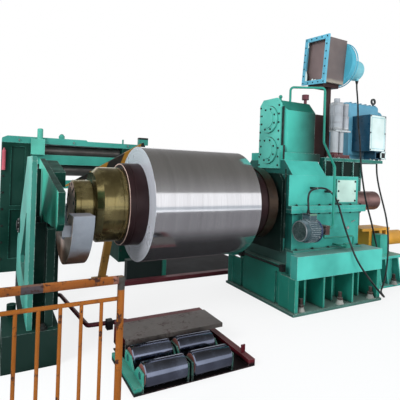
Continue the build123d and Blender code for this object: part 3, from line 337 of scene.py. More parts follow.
@dataclass(frozen=True)
class Paint(Finish):
    """Shop paint on plate or casting, with dust, grime, rubbed edges and rust; the grime in corners is partly
    painted shade, and a dark dust colour paints shade on upward faces.

    The painted shading fields paint shade, and light where their colour is pale, onto faces that look one
    way, and the foot fields colour what lies below a height.
    """

    colour: Colour
    worn: Colour = tone(196, 214, 208)
    grime_and_corner_shade: Colour = tone(28, 34, 30)
    rust: Colour = tone(92, 56, 38)
    dust_and_top_shading: Colour = tone(150, 152, 146)
    dirt_and_corner_shade: float = 0.45
    wear: float = 0.45
    rusting: float = 0.15
    dust_and_top_shading_share: float = 0.35
    runs: float = 0.35
    roughness: float = 0.42
    fade: float = 0.25
    painted_shading: float = 0.0
    painted_shading_colour: Optional[Colour] = None
    painted_shading_axis: Axis = Axis.X
    painted_shading_low: float = -0.3
    painted_shading_high: float = -0.8
    foot: float = 0.0
    foot_height: float = 0.0
    foot_reach: float = 0.1
    foot_colour: Colour = tone(96, 62, 40)
    edge_width: float = 0.007
    gloss: float = 0.42
    rust_level: float = 0.6

    PAINTED_SHADING_SHARE: ClassVar[float] = 0.16
    IOR: ClassVar[float] = 1.46

    def shades(self, shader: Shader) -> Tuple[object, object]:
        """Gives the dark and the pale form of the paint."""
        return deep_and_pale(self.colour)

    def write(self, shader: Shader) -> None:
        """Writes the layers from the paint up to its rust.

        Args:
            shader: The material, still empty.
        """
        broad = shader.noise(1.3, 3)
        cloud = shader.noise(7.0, 7, 0.62)
        fine = shader.noise(55.0, 5, 0.6)
        run = shader.noise(16.0, 5, 0.6, (1, 1, 0.09))
        deep, pale = self.shades(shader)
        base = shader.mix(broad.ramp(0.35, 0.68), deep, pale)
        base = shader.mix((cloud.ramp(0.42, 0.7) * self.fade), base, pale)
        # Corner darkening from the occlusion mask: partly grime, partly painted shade in corners and gaps.
        corner_shade_and_grime = shader.hollows(0.14).ramp(0.15, 0.95)
        smear = run.ramp(0.52, 0.72) * self.runs
        dirt_and_corner_shade = (corner_shade_and_grime * 0.9 + smear * 0.5 + cloud.ramp(0.56, 0.78) * 0.35) * self.dirt_and_corner_shade
        base = shader.mix(dirt_and_corner_shade.ramp(0.0, 1.0), base, self.grime_and_corner_shade)
        # Upward faces mixed towards the dust colour: real dust, and painted shade where a finish's dust
        # colour is a dark teal.
        upward = shader.facing(Axis.Z).ramp(0.6, 0.95)
        base = shader.mix(upward * (cloud * 0.5 + 0.6) * self.dust_and_top_shading_share, base, self.dust_and_top_shading)
        # Painted shading: faces that look one way along an axis are mixed towards the shading colour, a
        # darker copy of the paint as painted shade, a paler colour as painted light.
        if self.painted_shading:
            shading_faces = shader.facing(self.painted_shading_axis).ramp(self.painted_shading_low, self.painted_shading_high) * self.painted_shading
            painted_shading = self.painted_shading_colour or tuple(c * self.PAINTED_SHADING_SHARE for c in self.colour)
            base = shader.mix(shading_faces * (cloud * 0.5 + 0.75), base, painted_shading)
        if self.foot:
            height = shader.along(Axis.Z) + (cloud - 0.5) * self.foot_reach
            below = height.ramp(self.foot_height + self.foot_reach, self.foot_height)
            base = shader.mix(below * self.foot, base, self.foot_colour)
        edge = shader.edges(self.edge_width) * (fine * 1.4 + cloud * 0.8 - 0.55).ramp(0.35, 0.75)
        base = shader.mix(edge * self.wear, base, self.worn)
        spots = (cloud * 0.6 + fine * 0.4).ramp(self.rust_level, self.rust_level + 0.06) * self.rusting
        base = shader.mix(spots, base, self.rust)
        shader.bump(fine * 0.5 + cloud * 0.5 - spots * 0.2, 0.16, 0.004)
        roughness = cloud * 0.25 + (self.roughness - 0.12) + upward * 0.12 + dirt_and_corner_shade * 0.15
        shader.set(Base_Color=base, Roughness=roughness, IOR=self.IOR, Specular_IOR_Level=self.gloss)


@dataclass(frozen=True)
class BandedPaint(Paint):
    """Paint whose colour changes from place to place along one axis, above a height."""

    axis: Axis = Axis.X
    bands: Tuple[Tuple[float, Colour], ...] = ()
    above: float = -1.0
    softness: float = 0.0015
    waver: float = 0.006

    def shades(self, shader: Shader) -> Tuple[object, object]:
        """Gives the dark and the pale form of each band's colour.

        Args:
            shader: The material being written.

        Returns:
            Two colours.
        """
        deep, pale = super().shades(shader)
        place = shader.along(self.axis) + (shader.noise(30.0, 4) - 0.5) * self.waver
        high = shader.along(Axis.Z).ramp(self.above - 0.002, self.above + 0.002)
        for start, colour in self.bands:
            beyond = place.ramp(start - self.softness, start + self.softness) * high
            band_deep, band_pale = deep_and_pale(colour)
            deep = shader.mix(beyond, deep, band_deep)
            pale = shader.mix(beyond, pale, band_pale)
        return deep, pale


@dataclass(frozen=True)
class Metal(Finish):
    """Bare, oiled or rusty steel and brass, with turning marks and stains; the stains in corners are partly
    painted shade.
    """

    colour: Colour
    stain_and_corner_shade: Colour
    roughness: float = 0.35
    staining_and_corner_shade: float = 0.4
    marks: float = 0.3
    marks_axis: Axis = Axis.X
    metallic: float = 0.9
    pitting: float = 0.1

    MARK_LENGTH: ClassVar[float] = 0.15
    MARK_WIDTH: ClassVar[float] = 6.0

    def write(self, shader: Shader) -> None:
        """Writes the metal, its marks, stains that are partly painted shade in corners, and rubbed edges.

        Args:
            shader: The material, still empty.
        """
        stretch = [self.MARK_LENGTH] * 3
        stretch[self.marks_axis.value] = self.MARK_WIDTH
        lines = shader.noise(60.0, 6, 0.7, tuple(stretch))
        cloud = shader.noise(8.0, 7, 0.62)
        broad = shader.noise(2.2, 3)
        fine = shader.noise(90.0, 5, 0.6)
        bright = tuple(min(1.0, c * 1.22) for c in self.colour)
        dim = tuple(c * 0.7 for c in self.colour)
        base = shader.mix(broad.ramp(0.36, 0.66), dim, bright)
        base = shader.mix(lines.ramp(0.38, 0.66) * self.marks, base, dim)
        # Stains from noise and from the occlusion mask; the corner part is partly painted shade.
        dirt_and_corner_shade = (cloud.ramp(0.46, 0.66) * 0.9 + shader.hollows(0.1).ramp(0.2, 0.9) * 0.6) * self.staining_and_corner_shade
        base = shader.mix(dirt_and_corner_shade.ramp(0.0, 1.0), base, self.stain_and_corner_shade)
        edge = shader.edges(0.006) * fine.ramp(0.4, 0.6)
        base = shader.mix(edge * 0.35, base, bright)
        shader.bump(lines * self.marks + fine * self.pitting + cloud * self.pitting, 0.2, 0.003)
        roughness = dirt_and_corner_shade * 0.35 + lines * 0.16 + (self.roughness - 0.08)
        metallic = (1 - dirt_and_corner_shade * 0.75) * self.metallic
        shader.set(Base_Color=base, Roughness=roughness, Metallic=metallic)


@dataclass(frozen=True)
class RolledStrip(Finish):
    """Bright rolled strip wound on a coil: fine lines round it, wraps on its end."""

    colour: Colour = tone(240, 240, 244)
    shade: Colour = tone(196, 195, 200)
    rim: Colour = tone(240, 240, 250)
    height: float = 1.253
    roughness: float = 0.12
    wraps: float = 150.0

    def write(self, shader: Shader) -> None:
        """Writes the strip's face and the wraps on the coil's ends.

        Args:
            shader: The material, still empty.
        """
        round_it = (1, 0.02, 0.02)
        lines = shader.noise(130.0, 5, 0.7, round_it)
        bands = shader.noise(9.0, 3, 0.5, round_it)
        cloud = shader.noise(5.0, 5, 0.6)
        shading = lines.ramp(0.35, 0.68) * 0.22 + bands.ramp(0.35, 0.7) * 0.18
        base = shader.mix(shading, self.colour, self.shade)
        across = shader.along(Axis.Y)
        up = shader.along(Axis.Z) - self.height
        radius = (across * across + up * up) ** 0.5
        turns = {"W": radius * self.wraps, "Scale": 1.0, "Detail": 4.0}
        wrap = Value(shader, shader.node("ShaderNodeTexNoise", {"noise_dimensions": "1D"}, turns).outputs[0])
        end = shader.facing(Axis.X).size().ramp(0.7, 0.9)
        face = shader.mix(wrap.ramp(0.35, 0.65), self.shade, self.rim)
        base = shader.mix(end, base, face)
        shader.bump(lines * (1 - end) * 0.08 + wrap * end + cloud * 0.1, 0.12, 0.002)
        roughness = lines * 0.05 + end * 0.16 + (self.roughness - 0.03) + cloud.ramp(0.5, 0.75) * 0.05
        shader.set(Base_Color=base, Roughness=roughness, Metallic=0.97 - end * 0.6)


@dataclass(frozen=True)
class HazardStripes(Finish):
    """Black and ochre warning stripes on a steel beam, much rubbed, and its plain leg."""

    dark: Colour = tone(24, 22, 20)
    light: Colour = tone(146, 100, 20)
    leg: Colour = tone(158, 112, 34)
    grime_and_corner_shade: Colour = tone(60, 44, 28)
    leg_top: float = 1.45
    pitch: float = 0.34

    def write(self, shader: Shader) -> None:
        """Writes the stripes above the leg's top and plain paint below it.

        Args:
            shader: The material, still empty.
        """
        slant = (shader.along(Axis.X) * 0.9 - shader.along(Axis.Z) * 0.35) / self.pitch
        stripe = slant.fract().ramp(0.47, 0.5)
        cloud = shader.noise(9.0, 7, 0.65)
        stripe = stripe * shader.along(Axis.Z).ramp(self.leg_top - 0.01, self.leg_top)
        base = shader.mix(stripe, self.dark, self.light)
        base = shader.mix(shader.along(Axis.Z).ramp(self.leg_top, self.leg_top - 0.01), base, self.leg)
        base = shader.mix(cloud.ramp(0.5, 0.72) * 0.7, base, self.grime_and_corner_shade)
        shader.bump(cloud, 0.2, 0.003)
        shader.set(Base_Color=base, Roughness=cloud * 0.3 + 0.4)


@dataclass(frozen=True)
class Rubber(Finish):
    """Cable sheath and rubber, dusty."""

    colour: Colour = tone(22, 23, 25)
    dust_and_top_shading: Colour = tone(96, 98, 98)

    def write(self, shader: Shader) -> None:
        """Writes the rubber and the dust on its upper side.

        Args:
            shader: The material, still empty.
        """
        cloud = shader.noise(14.0, 6, 0.6)
        upward = shader.facing(Axis.Z).ramp(0.3, 1.0)
        base = shader.mix(cloud.ramp(0.4, 0.7) * 0.35 + upward * 0.25, self.colour, self.dust_and_top_shading)
        shader.bump(cloud, 0.12, 0.002)
        shader.set(Base_Color=base, Roughness=cloud * 0.3 + 0.32)


class Finishes:
    """Every finish on the object, built once and kept by name."""

    RECIPES: ClassVar[Dict[str, Finish]] = {
        "teal": Paint(tone(62, 178, 160)),
        # Painted shade: faces looking towards -X, the coil side, are darkened.
        "teal_case": Paint(
            tone(60, 172, 158), runs=0.6, fade=0.5, foot=0.5, foot_height=0.69, foot_reach=0.07,
            foot_colour=tone(70, 96, 88), painted_shading=0.93,
        ),
        # Painted shade: faces looking towards -X, the coil side, are darkened.
        "teal_upper": Paint(
            tone(64, 176, 162), dirt_and_corner_shade=0.4, runs=0.6, fade=0.5, painted_shading=0.95, worn=tone(200, 226, 218),
        ),
        # Painted shade: faces looking towards -X, the coil side, are darkened.
        "teal_beam": Paint(
            tone(74, 188, 174), wear=0.8, dust_and_top_shading_share=0.75, dust_and_top_shading=tone(128, 134, 130), painted_shading=0.55,
        ),
        # Painted shade: faces looking towards -X, the coil side, are darkened to a deep teal.
        "teal_base": Paint(
            tone(44, 150, 132), dirt_and_corner_shade=0.85, painted_shading=0.66, painted_shading_colour=tone(4, 84, 70), dust_and_top_shading_share=0.6, foot=0.7,
            foot_height=0.03, foot_reach=0.03, foot_colour=tone(60, 64, 58), wear=0.6,
        ),
        # Painted shade: upward faces darkened by the shading and the dark teal dust colour, and the paint
        # darkening softly towards +X from about X -0.34.
        "teal_head": BandedPaint(
            tone(62, 172, 156), fade=0.35, dirt_and_corner_shade=0.5, dust_and_top_shading_share=0.3, dust_and_top_shading=tone(20, 96, 80), painted_shading=0.75,
            painted_shading_axis=Axis.Z, painted_shading_low=0.3, painted_shading_high=0.6, painted_shading_colour=tone(10, 84, 68),
            bands=((-0.34, tone(3, 40, 33)),), softness=0.26, gloss=0.3,
        ),
        "teal_pale": Paint(tone(84, 182, 166), wear=0.4, dirt_and_corner_shade=0.3, fade=0.2),
        "teal_top": Paint(tone(58, 152, 138), dust_and_top_shading_share=0.7, dust_and_top_shading=tone(14, 110, 94), dirt_and_corner_shade=0.4),
        "teal_cross": Paint(tone(52, 148, 132), dust_and_top_shading_share=0.6, dust_and_top_shading=tone(92, 86, 82)),
        "teal_jack": Paint(tone(84, 178, 158), dirt_and_corner_shade=0.4, wear=0.6),
        "teal_pipe": Paint(tone(40, 142, 124), dirt_and_corner_shade=0.5, wear=0.2, roughness=0.36),
        "teal_bearer": BandedPaint(
            tone(50, 146, 128), bands=((-2.7, tone(10, 76, 64)),), dirt_and_corner_shade=0.6, dust_and_top_shading_share=0.1, foot=0.8,
            foot_height=0.03, foot_reach=0.03, foot_colour=tone(14, 22, 22),
        ),
        "platform": Paint(
            tone(30, 112, 100), dirt_and_corner_shade=0.9, wear=1.0, worn=tone(200, 232, 226), dust_and_top_shading_share=0.3,
            grime_and_corner_shade=tone(12, 16, 16), edge_width=0.012,
        ),
        "green_panel": Paint(
            tone(2, 50, 40), dirt_and_corner_shade=0.4, dust_and_top_shading_share=0.2, wear=0.9, worn=tone(70, 150, 132), edge_width=0.012,
            gloss=0.15, grime_and_corner_shade=tone(2, 26, 22),
        ),
        "green_deep": Paint(
            tone(2, 30, 24), dirt_and_corner_shade=0.6, dust_and_top_shading_share=0.2, wear=0.3, dust_and_top_shading=tone(12, 54, 44), gloss=0.15,
            grime_and_corner_shade=tone(2, 16, 14),
        ),
        # Painted shade: every face but those looking towards -X is darkened.
        "green_stand": Paint(
            tone(68, 162, 146), wear=0.8, dirt_and_corner_shade=0.25, runs=0.4, worn=tone(206, 220, 212), painted_shading=0.6,
            painted_shading_low=-0.85, painted_shading_high=-0.4, painted_shading_colour=tone(16, 62, 52),
        ),
        # Painted shade: every face but those looking towards -X is darkened.
        "green_arm": Paint(
            tone(80, 198, 172), wear=0.7, dirt_and_corner_shade=0.25, runs=0.3, worn=tone(196, 224, 212), painted_shading=0.97,
            painted_shading_low=-0.85, painted_shading_high=-0.4, painted_shading_colour=tone(4, 52, 42), gloss=0.2,
        ),
        "green_black": Paint(
            tone(2, 34, 27), dirt_and_corner_shade=0.6, wear=0.35, dust_and_top_shading_share=0.5, dust_and_top_shading=tone(10, 54, 44), gloss=0.15,
            grime_and_corner_shade=tone(2, 18, 16),
        ),
        # Painted shade: faces looking towards -X, the coil side, are darkened.
        "sole": Paint(
            tone(84, 128, 118), dust_and_top_shading_share=0.85, dirt_and_corner_shade=0.7, rusting=0.3, dust_and_top_shading=tone(112, 128, 120), painted_shading=0.5,
        ),
        "mint": Paint(
            tone(196, 226, 214), wear=0.3, dirt_and_corner_shade=0.3, runs=0.9, grime_and_corner_shade=tone(110, 160, 146), roughness=0.35,
        ),
        "mint_panel": Paint(
            tone(226, 246, 240), wear=0.2, dirt_and_corner_shade=0.2, runs=0.3, grime_and_corner_shade=tone(120, 160, 160), roughness=0.3,
            rusting=0.05,
        ),
        "sky": Paint(tone(92, 194, 220), dirt_and_corner_shade=0.35, wear=0.3, roughness=0.32, dust_and_top_shading_share=0.2),
        "sky_frame": Paint(tone(100, 182, 208), dirt_and_corner_shade=0.3, wear=0.5, roughness=0.35, rusting=0.25),
        "sky_pale": Paint(tone(128, 196, 208), dirt_and_corner_shade=0.4, wear=0.4, roughness=0.3),
        "motor_blue": BandedPaint(
            tone(104, 172, 200), wear=0.4, roughness=0.32, axis=Axis.Z,
            bands=((2.756, tone(30, 32, 34)),),
        ),
        # Painted shade: the terminal box's body is a dark navy, a shaded copy of the pale paint that its lid
        # shows lit.
        "terminal_box_shaded": Paint(
            tone(8, 70, 96), dirt_and_corner_shade=0.5, wear=0.3, roughness=0.28, dust_and_top_shading_share=0.2, grime_and_corner_shade=tone(4, 20, 34),
        ),
        "duct": Paint(
            tone(122, 110, 108), worn=tone(168, 156, 150), dirt_and_corner_shade=0.4, runs=0.6, rusting=0.2, roughness=0.6,
            foot=0.7, foot_height=2.96, foot_reach=0.05, foot_colour=tone(176, 168, 152),
        ),
        "filter": Paint(
            tone(138, 118, 116), worn=tone(132, 118, 116), dirt_and_corner_shade=0.4, runs=0.4, rusting=0.1, roughness=0.8,
        ),
        "motor_grey": Paint(
            tone(66, 88, 94), worn=tone(200, 208, 214), dirt_and_corner_shade=0.7, wear=0.9, roughness=0.26, dust_and_top_shading_share=0.5,
            dust_and_top_shading=tone(150, 160, 168),
        ),
        "grille": Paint(tone(30, 52, 52), dirt_and_corner_shade=0.5, wear=0.3, roughness=0.4),
        "pump_tones": BandedPaint(
            tone(14, 44, 84), dirt_and_corner_shade=0.5, wear=0.5, roughness=0.3,
            bands=((-0.38, tone(12, 13, 15)), (-0.29, tone(86, 62, 58))),
        ),
        "box_green": Paint(tone(92, 134, 112), dirt_and_corner_shade=0.4, roughness=0.4),
        "rail_orange": BandedPaint(
            tone(146, 82, 16), gloss=0.2, rust_level=0.545, worn=tone(92, 56, 42), grime_and_corner_shade=tone(66, 40, 30),
            rust=tone(58, 36, 30), dirt_and_corner_shade=0.9, rusting=1.0, runs=1.0, wear=0.9, dust_and_top_shading_share=0.2,
            dust_and_top_shading=tone(186, 122, 66), roughness=0.5, above=1.0,
            bands=(
                (-4.6, tone(124, 66, 12)), (-3.675, tone(60, 52, 56)), (-3.575, tone(124, 66, 12)),
                (-3.228, tone(128, 84, 72)), (-3.2, tone(60, 58, 54)),
            ),
        ),
        "ochre": Paint(
            tone(232, 166, 56), worn=tone(240, 212, 150), grime_and_corner_shade=tone(52, 34, 18), rust=tone(110, 62, 28),
            dirt_and_corner_shade=0.6, rusting=0.4, wear=0.5, dust_and_top_shading_share=0.1, roughness=0.36,
        ),
        "maroon": Paint(
            tone(96, 28, 38), worn=tone(150, 100, 104), grime_and_corner_shade=tone(20, 12, 16), rust=tone(56, 28, 28),
            dirt_and_corner_shade=0.7, rusting=0.4, wear=0.5, dust_and_top_shading_share=0.2, dust_and_top_shading=tone(96, 72, 74), roughness=0.4,
        ),
        "pipe_maroon": BandedPaint(
            tone(82, 16, 30), worn=tone(150, 96, 100), grime_and_corner_shade=tone(18, 12, 14), rust=tone(50, 26, 26),
            dirt_and_corner_shade=0.7, rusting=0.3, wear=0.4, dust_and_top_shading_share=0.1, roughness=0.35,
            bands=((-2.776, tone(20, 17, 20)), (-2.684, tone(82, 16, 30))),
        ),
        "tube_red": Paint(tone(196, 92, 104), dirt_and_corner_shade=0.3, wear=0.4, dust_and_top_shading_share=0.1, roughness=0.35),
        "end_red": Paint(tone(126, 72, 66), dirt_and_corner_shade=0.6, wear=0.3, rusting=0.5, roughness=0.5),
        "cradle_tones": BandedPaint(
            tone(44, 140, 122), worn=tone(150, 120, 120), grime_and_corner_shade=tone(16, 14, 16), rust=tone(54, 30, 30),
            dirt_and_corner_shade=0.75, rusting=0.35, wear=0.5, dust_and_top_shading_share=0.15, roughness=0.4, foot=0.95, foot_height=0.022,
            foot_reach=0.02, foot_colour=tone(14, 14, 15), bands=((-2.808, tone(86, 10, 24)),), gloss=0.2,
        ),
        "post_red": Paint(
            tone(58, 32, 30), worn=tone(120, 86, 84), grime_and_corner_shade=tone(14, 10, 10), rust=tone(104, 62, 44),
            dirt_and_corner_shade=0.8, rusting=0.5, wear=0.6, roughness=0.5, dust_and_top_shading_share=0.2,
        ),
        "breather": BandedPaint(
            tone(50, 158, 138), worn=tone(150, 120, 120), grime_and_corner_shade=tone(24, 16, 18), rust=tone(80, 44, 44),
            dirt_and_corner_shade=0.5, rusting=0.3, wear=0.4, roughness=0.45, dust_and_top_shading_share=0.1,
            bands=((-0.4, tone(96, 50, 58)),),
        ),
        "cover_grey": Paint(
            tone(90, 84, 80), worn=tone(140, 134, 130), grime_and_corner_shade=tone(30, 26, 26), rust=tone(54, 34, 34),
            rust_level=0.55, dirt_and_corner_shade=1.0, rusting=0.8, runs=0.8, dust_and_top_shading_share=0.3, dust_and_top_shading=tone(96, 90, 88),
            roughness=0.4, fade=0.6,
        ),
        "oily_plate": Paint(
            tone(34, 32, 34), worn=tone(90, 88, 88), grime_and_corner_shade=tone(10, 10, 12), rust=tone(40, 28, 26),
            dirt_and_corner_shade=0.8, rusting=0.3, dust_and_top_shading_share=0.2, dust_and_top_shading=tone(58, 56, 56), roughness=0.6, gloss=0.12,
        ),
        # Painted light: faces looking towards -X are lightened to a pale pink-grey.
        "saddle_grey": Paint(
            tone(156, 162, 172), worn=tone(212, 214, 216), grime_and_corner_shade=tone(96, 78, 60), rust=tone(118, 78, 44),
            rusting=0.25, runs=0.6, dust_and_top_shading_share=0.2, dust_and_top_shading=tone(140, 100, 98), roughness=0.35, painted_shading=0.92,
            painted_shading_colour=tone(240, 212, 200), foot=0.9, foot_height=0.79, foot_reach=0.13,
            foot_colour=tone(92, 58, 34),
        ),
        "thruster": BandedPaint(
            tone(92, 46, 50), worn=tone(210, 212, 214), grime_and_corner_shade=tone(40, 40, 44), rust=tone(110, 74, 66),
            rusting=0.2, wear=0.6, runs=0.8, roughness=0.3, axis=Axis.Z,
            bands=((1.95, tone(166, 170, 174)), (2.24, tone(190, 194, 196)), (2.3, tone(168, 172, 178))),
        ),
        "top_fitting": BandedPaint(
            tone(60, 150, 134), dirt_and_corner_shade=0.4, wear=0.5, axis=Axis.Z, bands=((2.135, tone(18, 18, 20)),),
        ),
        "valve_tones": BandedPaint(
            tone(16, 36, 34), dirt_and_corner_shade=0.7, wear=0.5, bands=((-1.535, tone(36, 128, 110)),),
        ),
        "roll_grey": Metal(
            tone(112, 108, 106), tone(60, 56, 54), roughness=0.3, staining_and_corner_shade=0.5, marks=0.4, metallic=0.7,
            pitting=0.2,
        ),
        "pink_iron": Metal(
            tone(250, 208, 194), tone(150, 98, 86), roughness=0.55, marks=0.2, metallic=0.1, pitting=0.6,
        ),
        "tail_iron": Metal(
            tone(150, 116, 112), tone(104, 60, 54), roughness=0.3, staining_and_corner_shade=0.5, marks=0.2, metallic=0.75,
            pitting=0.4,
        ),
        "anchor": BandedPaint(
            tone(150, 150, 144), dirt_and_corner_shade=0.6, rusting=0.4, dust_and_top_shading_share=0.3, axis=Axis.Z,
            bands=((0.085, tone(60, 44, 40)),),
        ),
        "brass": Metal(
            tone(162, 148, 102), tone(48, 40, 28), roughness=0.16, staining_and_corner_shade=0.42, marks=0.8,
            metallic=0.95,
        ),
        "maroon_iron": Metal(
            tone(54, 34, 36), tone(26, 15, 15), roughness=0.36, staining_and_corner_shade=0.45, metallic=0.5, pitting=0.2,
        ),
        "flange_iron": Metal(
            tone(72, 58, 48), tone(24, 18, 16), roughness=0.3, staining_and_corner_shade=0.5, marks=0.4, metallic=0.8,
            pitting=0.2,
        ),
        "roll_steel": Metal(
            tone(134, 142, 164), tone(60, 54, 60), roughness=0.13, staining_and_corner_shade=0.12, metallic=1.0,
            pitting=0.04,
        ),
        "silver": Metal(
            tone(176, 180, 184), tone(104, 106, 110), roughness=0.3, staining_and_corner_shade=0.35, marks_axis=Axis.Z,
            metallic=0.75,
        ),
        "oily": Metal(
            tone(52, 50, 50), tone(16, 14, 14), roughness=0.32, staining_and_corner_shade=0.6, metallic=0.7, pitting=0.3,
        ),
        "zinc": Metal(
            tone(176, 178, 178), tone(104, 92, 80), roughness=0.34, staining_and_corner_shade=0.5, marks=0.2,
            marks_axis=Axis.Z, metallic=0.8, pitting=0.2,
        ),
        "bolt_dark": Metal(
            tone(46, 52, 50), tone(24, 20, 18), roughness=0.42, staining_and_corner_shade=0.6, marks=0.1,
            marks_axis=Axis.Z, metallic=0.5, pitting=0.3,
        ),
        "strip": RolledStrip(),
        "hazard": HazardStripes(),
        "rubber": Rubber(),
        "black": Rubber(tone(14, 15, 17)),
    }

    def __init__(self) -> None:
        """Starts with nothing built."""
        self.built: Dict[str, bpy.types.Material] = {}

    def get(self, name: str) -> bpy.types.Material:
        """Gives a finish's material, built the first time it is asked for.

        Args:
            name: A key of RECIPES.

        Returns:
            The material.
        """
        if name not in self.built:
            self.built[name] = self.RECIPES[name].build(name)
        return self.built[name]


class Shape:
    """A mesh put together from closed solids, in metres in the frame."""

    BLOCK_FACES = ((0, 1, 3, 2), (4, 6, 7, 5), (0, 4, 5, 1), (2, 3, 7, 6), (0, 2, 6, 4), (1, 5, 7, 3))
    POINTED = 1e-6
    BEVEL_FROM = 0.6
    SHARP_FROM = math.radians(34)

    def __init__(self) -> None:
        """Starts empty."""
        self.mesh = bmesh.new()

    def corners(self, points: Iterable[Triple]) -> List[bmesh.types.BMVert]:
        """Adds one corner at each point."""
        return [self.mesh.verts.new(point) for point in points]

    def box(self, low: Triple, high: Triple) -> "Shape":
        """Adds an upright block.

        Args:
            low: Lowest corner.
            high: Highest corner.

        Returns:
            The shape, for the next call.
        """
        xs, ys, zs = zip(low, high)
        corners = self.corners((x, y, z) for x in xs for y in ys for z in zs)
        for loop in self.BLOCK_FACES:
            self.mesh.faces.new([corners[i] for i in loop])
        return self

    def prism(self, outline: Sequence[Triple], depth: Triple) -> "Shape":
        """Adds a flat outline pushed along a direction.

        Args:
            outline: Corners in order.
            depth: How far and where it is pushed.

        Returns:
            The shape.
        """
        near = self.corners(outline)
        far = self.corners(Vector(p) + Vector(depth) for p in outline)
        self.mesh.faces.new(near)
        self.mesh.faces.new(far[::-1])
        count = len(near)
        for i in range(count):
            j = (i + 1) % count
            self.mesh.faces.new([near[j], near[i], far[i], far[j]])
        return self

    def lathe(self, centre: Triple, axis: Triple, profile: Sequence[Tuple[float, float]],
              sides: int = 32, closed: bool = False) -> "Shape":
        """Adds a turned solid.

        Args:
            centre: Where the axis starts.
            axis: Direction of the axis.
            profile: Pairs of distance along the axis and radius; radius 0 closes an end.
            sides: Faces round it.
            closed: Joins the last pair to the first, for a ring.

        Returns:
            The shape.
        """
        along, side, third = crosswise(axis)
        loops = []
        for distance, radius in profile:
            middle = Vector(centre) + along * distance
            pointed = radius <= self.POINTED
            loops.append(self.corners([middle] if pointed else circle(middle, side, third, radius, sides)))
        pairs = list(zip(loops, loops[1:]))
        if closed:
            pairs.append((loops[-1], loops[0]))
        for first, second in pairs:
            for i in range(sides):
                j = (i + 1) % sides
                turn = ((first, i), (first, j), (second, j), (second, i))
                corners = list(dict.fromkeys(loop[place % len(loop)] for loop, place in turn))
                if len(corners) > 2:
                    self.mesh.faces.new(corners)
        return self

    def rod(self, start: Triple, end: Triple, radius: float, sides: int = 20) -> "Shape":
        """Adds a round bar with small chamfers.

        Args:
            start: One end.
            end: The other end.
            radius: Its radius.
            sides: Faces round it.

        Returns:
            The shape.
        """
        span = Vector(end) - Vector(start)
        chamfer = min(radius * 0.12, span.length * 0.2)
        return self.lathe(start, span, [
            (0, 0), (0, radius - chamfer), (chamfer, radius),
            (span.length - chamfer, radius), (span.length, radius - chamfer), (span.length, 0),
        ], sides)

    def ring(self, centre: Triple, axis: Triple, inner: float, outer: float, width: float,
             sides: int = 40) -> "Shape":
        """Adds a flat ring between two radii, its width running along the axis from its centre."""
        profile = [(0, inner), (0, outer), (width, outer), (width, inner)]
        return self.lathe(centre, axis, profile, sides, True)

    def tube(self, points: Sequence[Triple], radius: float, sides: int = 12) -> "Shape":
        """Adds a round bar bent along points.

        Args:
            points: Its centre line.
            radius: Its radius.
            sides: Faces round it.

        Returns:
            The shape.
        """
        line = [Vector(p) for p in points]
        loops = []
        side = (line[1] - line[0]).orthogonal().normalized()
        for i, point in enumerate(line):
            before = line[max(i - 1, 0)]
            after = line[min(i + 1, len(line) - 1)]
            along = (after - before).normalized()
            side = (side - along * side.dot(along)).normalized()
            loops.append(self.corners(circle(point, side, along.cross(side), radius, sides)))
        self.mesh.faces.new(loops[0][::-1])
        self.mesh.faces.new(loops[-1])
        for first, second in zip(loops, loops[1:]):
            for i in range(sides):
                j = (i + 1) % sides
                self.mesh.faces.new([first[i], first[j], second[j], second[i]])
        return self

    def make(self, name: str, body: str, material: bpy.types.Material, slot: str, bevel: float = 0.0,
             stands_for: Sequence[str] = ()) -> Piece:
        """Turns the shape into a finished piece that rides on a body.

        Args:
            name: The piece's name.
            body: CAD body that carries it.
            material: Its finish.
            slot: The record's slot; not used.
            bevel: Width of its rounded edges, in metres.
            stands_for: CAD nodes that it replaces.

        Returns:
            The object.
        """
        bmesh.ops.recalc_face_normals(self.mesh, faces=self.mesh.faces)
        if bevel:
            inner = (e for e in self.mesh.edges if len(e.link_faces) == 2)
            sharp = [e for e in inner if e.calc_face_angle(0) > self.BEVEL_FROM]
            bmesh.ops.bevel(self.mesh, geom=sharp, offset=bevel, segments=2, profile=0.6, affect="EDGES",
                            clamp_overlap=True)
        data = bpy.data.meshes.new(name)
        self.mesh.to_mesh(data)
        self.mesh.free()
        data.materials.append(material)
        data.shade_smooth()
        data.set_sharp_from_angle(angle=self.SHARP_FROM)
        return self.carry(linked(name, data), body, slot, stands_for)

    @staticmethod
    def carry(piece: Piece, body: str, slot: str, stands_for: Sequence[str] = ()) -> Piece:
        """Puts a finished object on its body and reports it.

        Args:
            piece: The object.
            body: CAD body that carries it.
            slot: The record's slot; not used.
            stands_for: CAD nodes that it replaces.

        Returns:
            The object.
        """
        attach(piece, body)
        if stands_for:
            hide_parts(*stands_for)
        log.info("piece %s on %s, %d faces", piece.name, body, len(piece.data.polygons))
        return piece


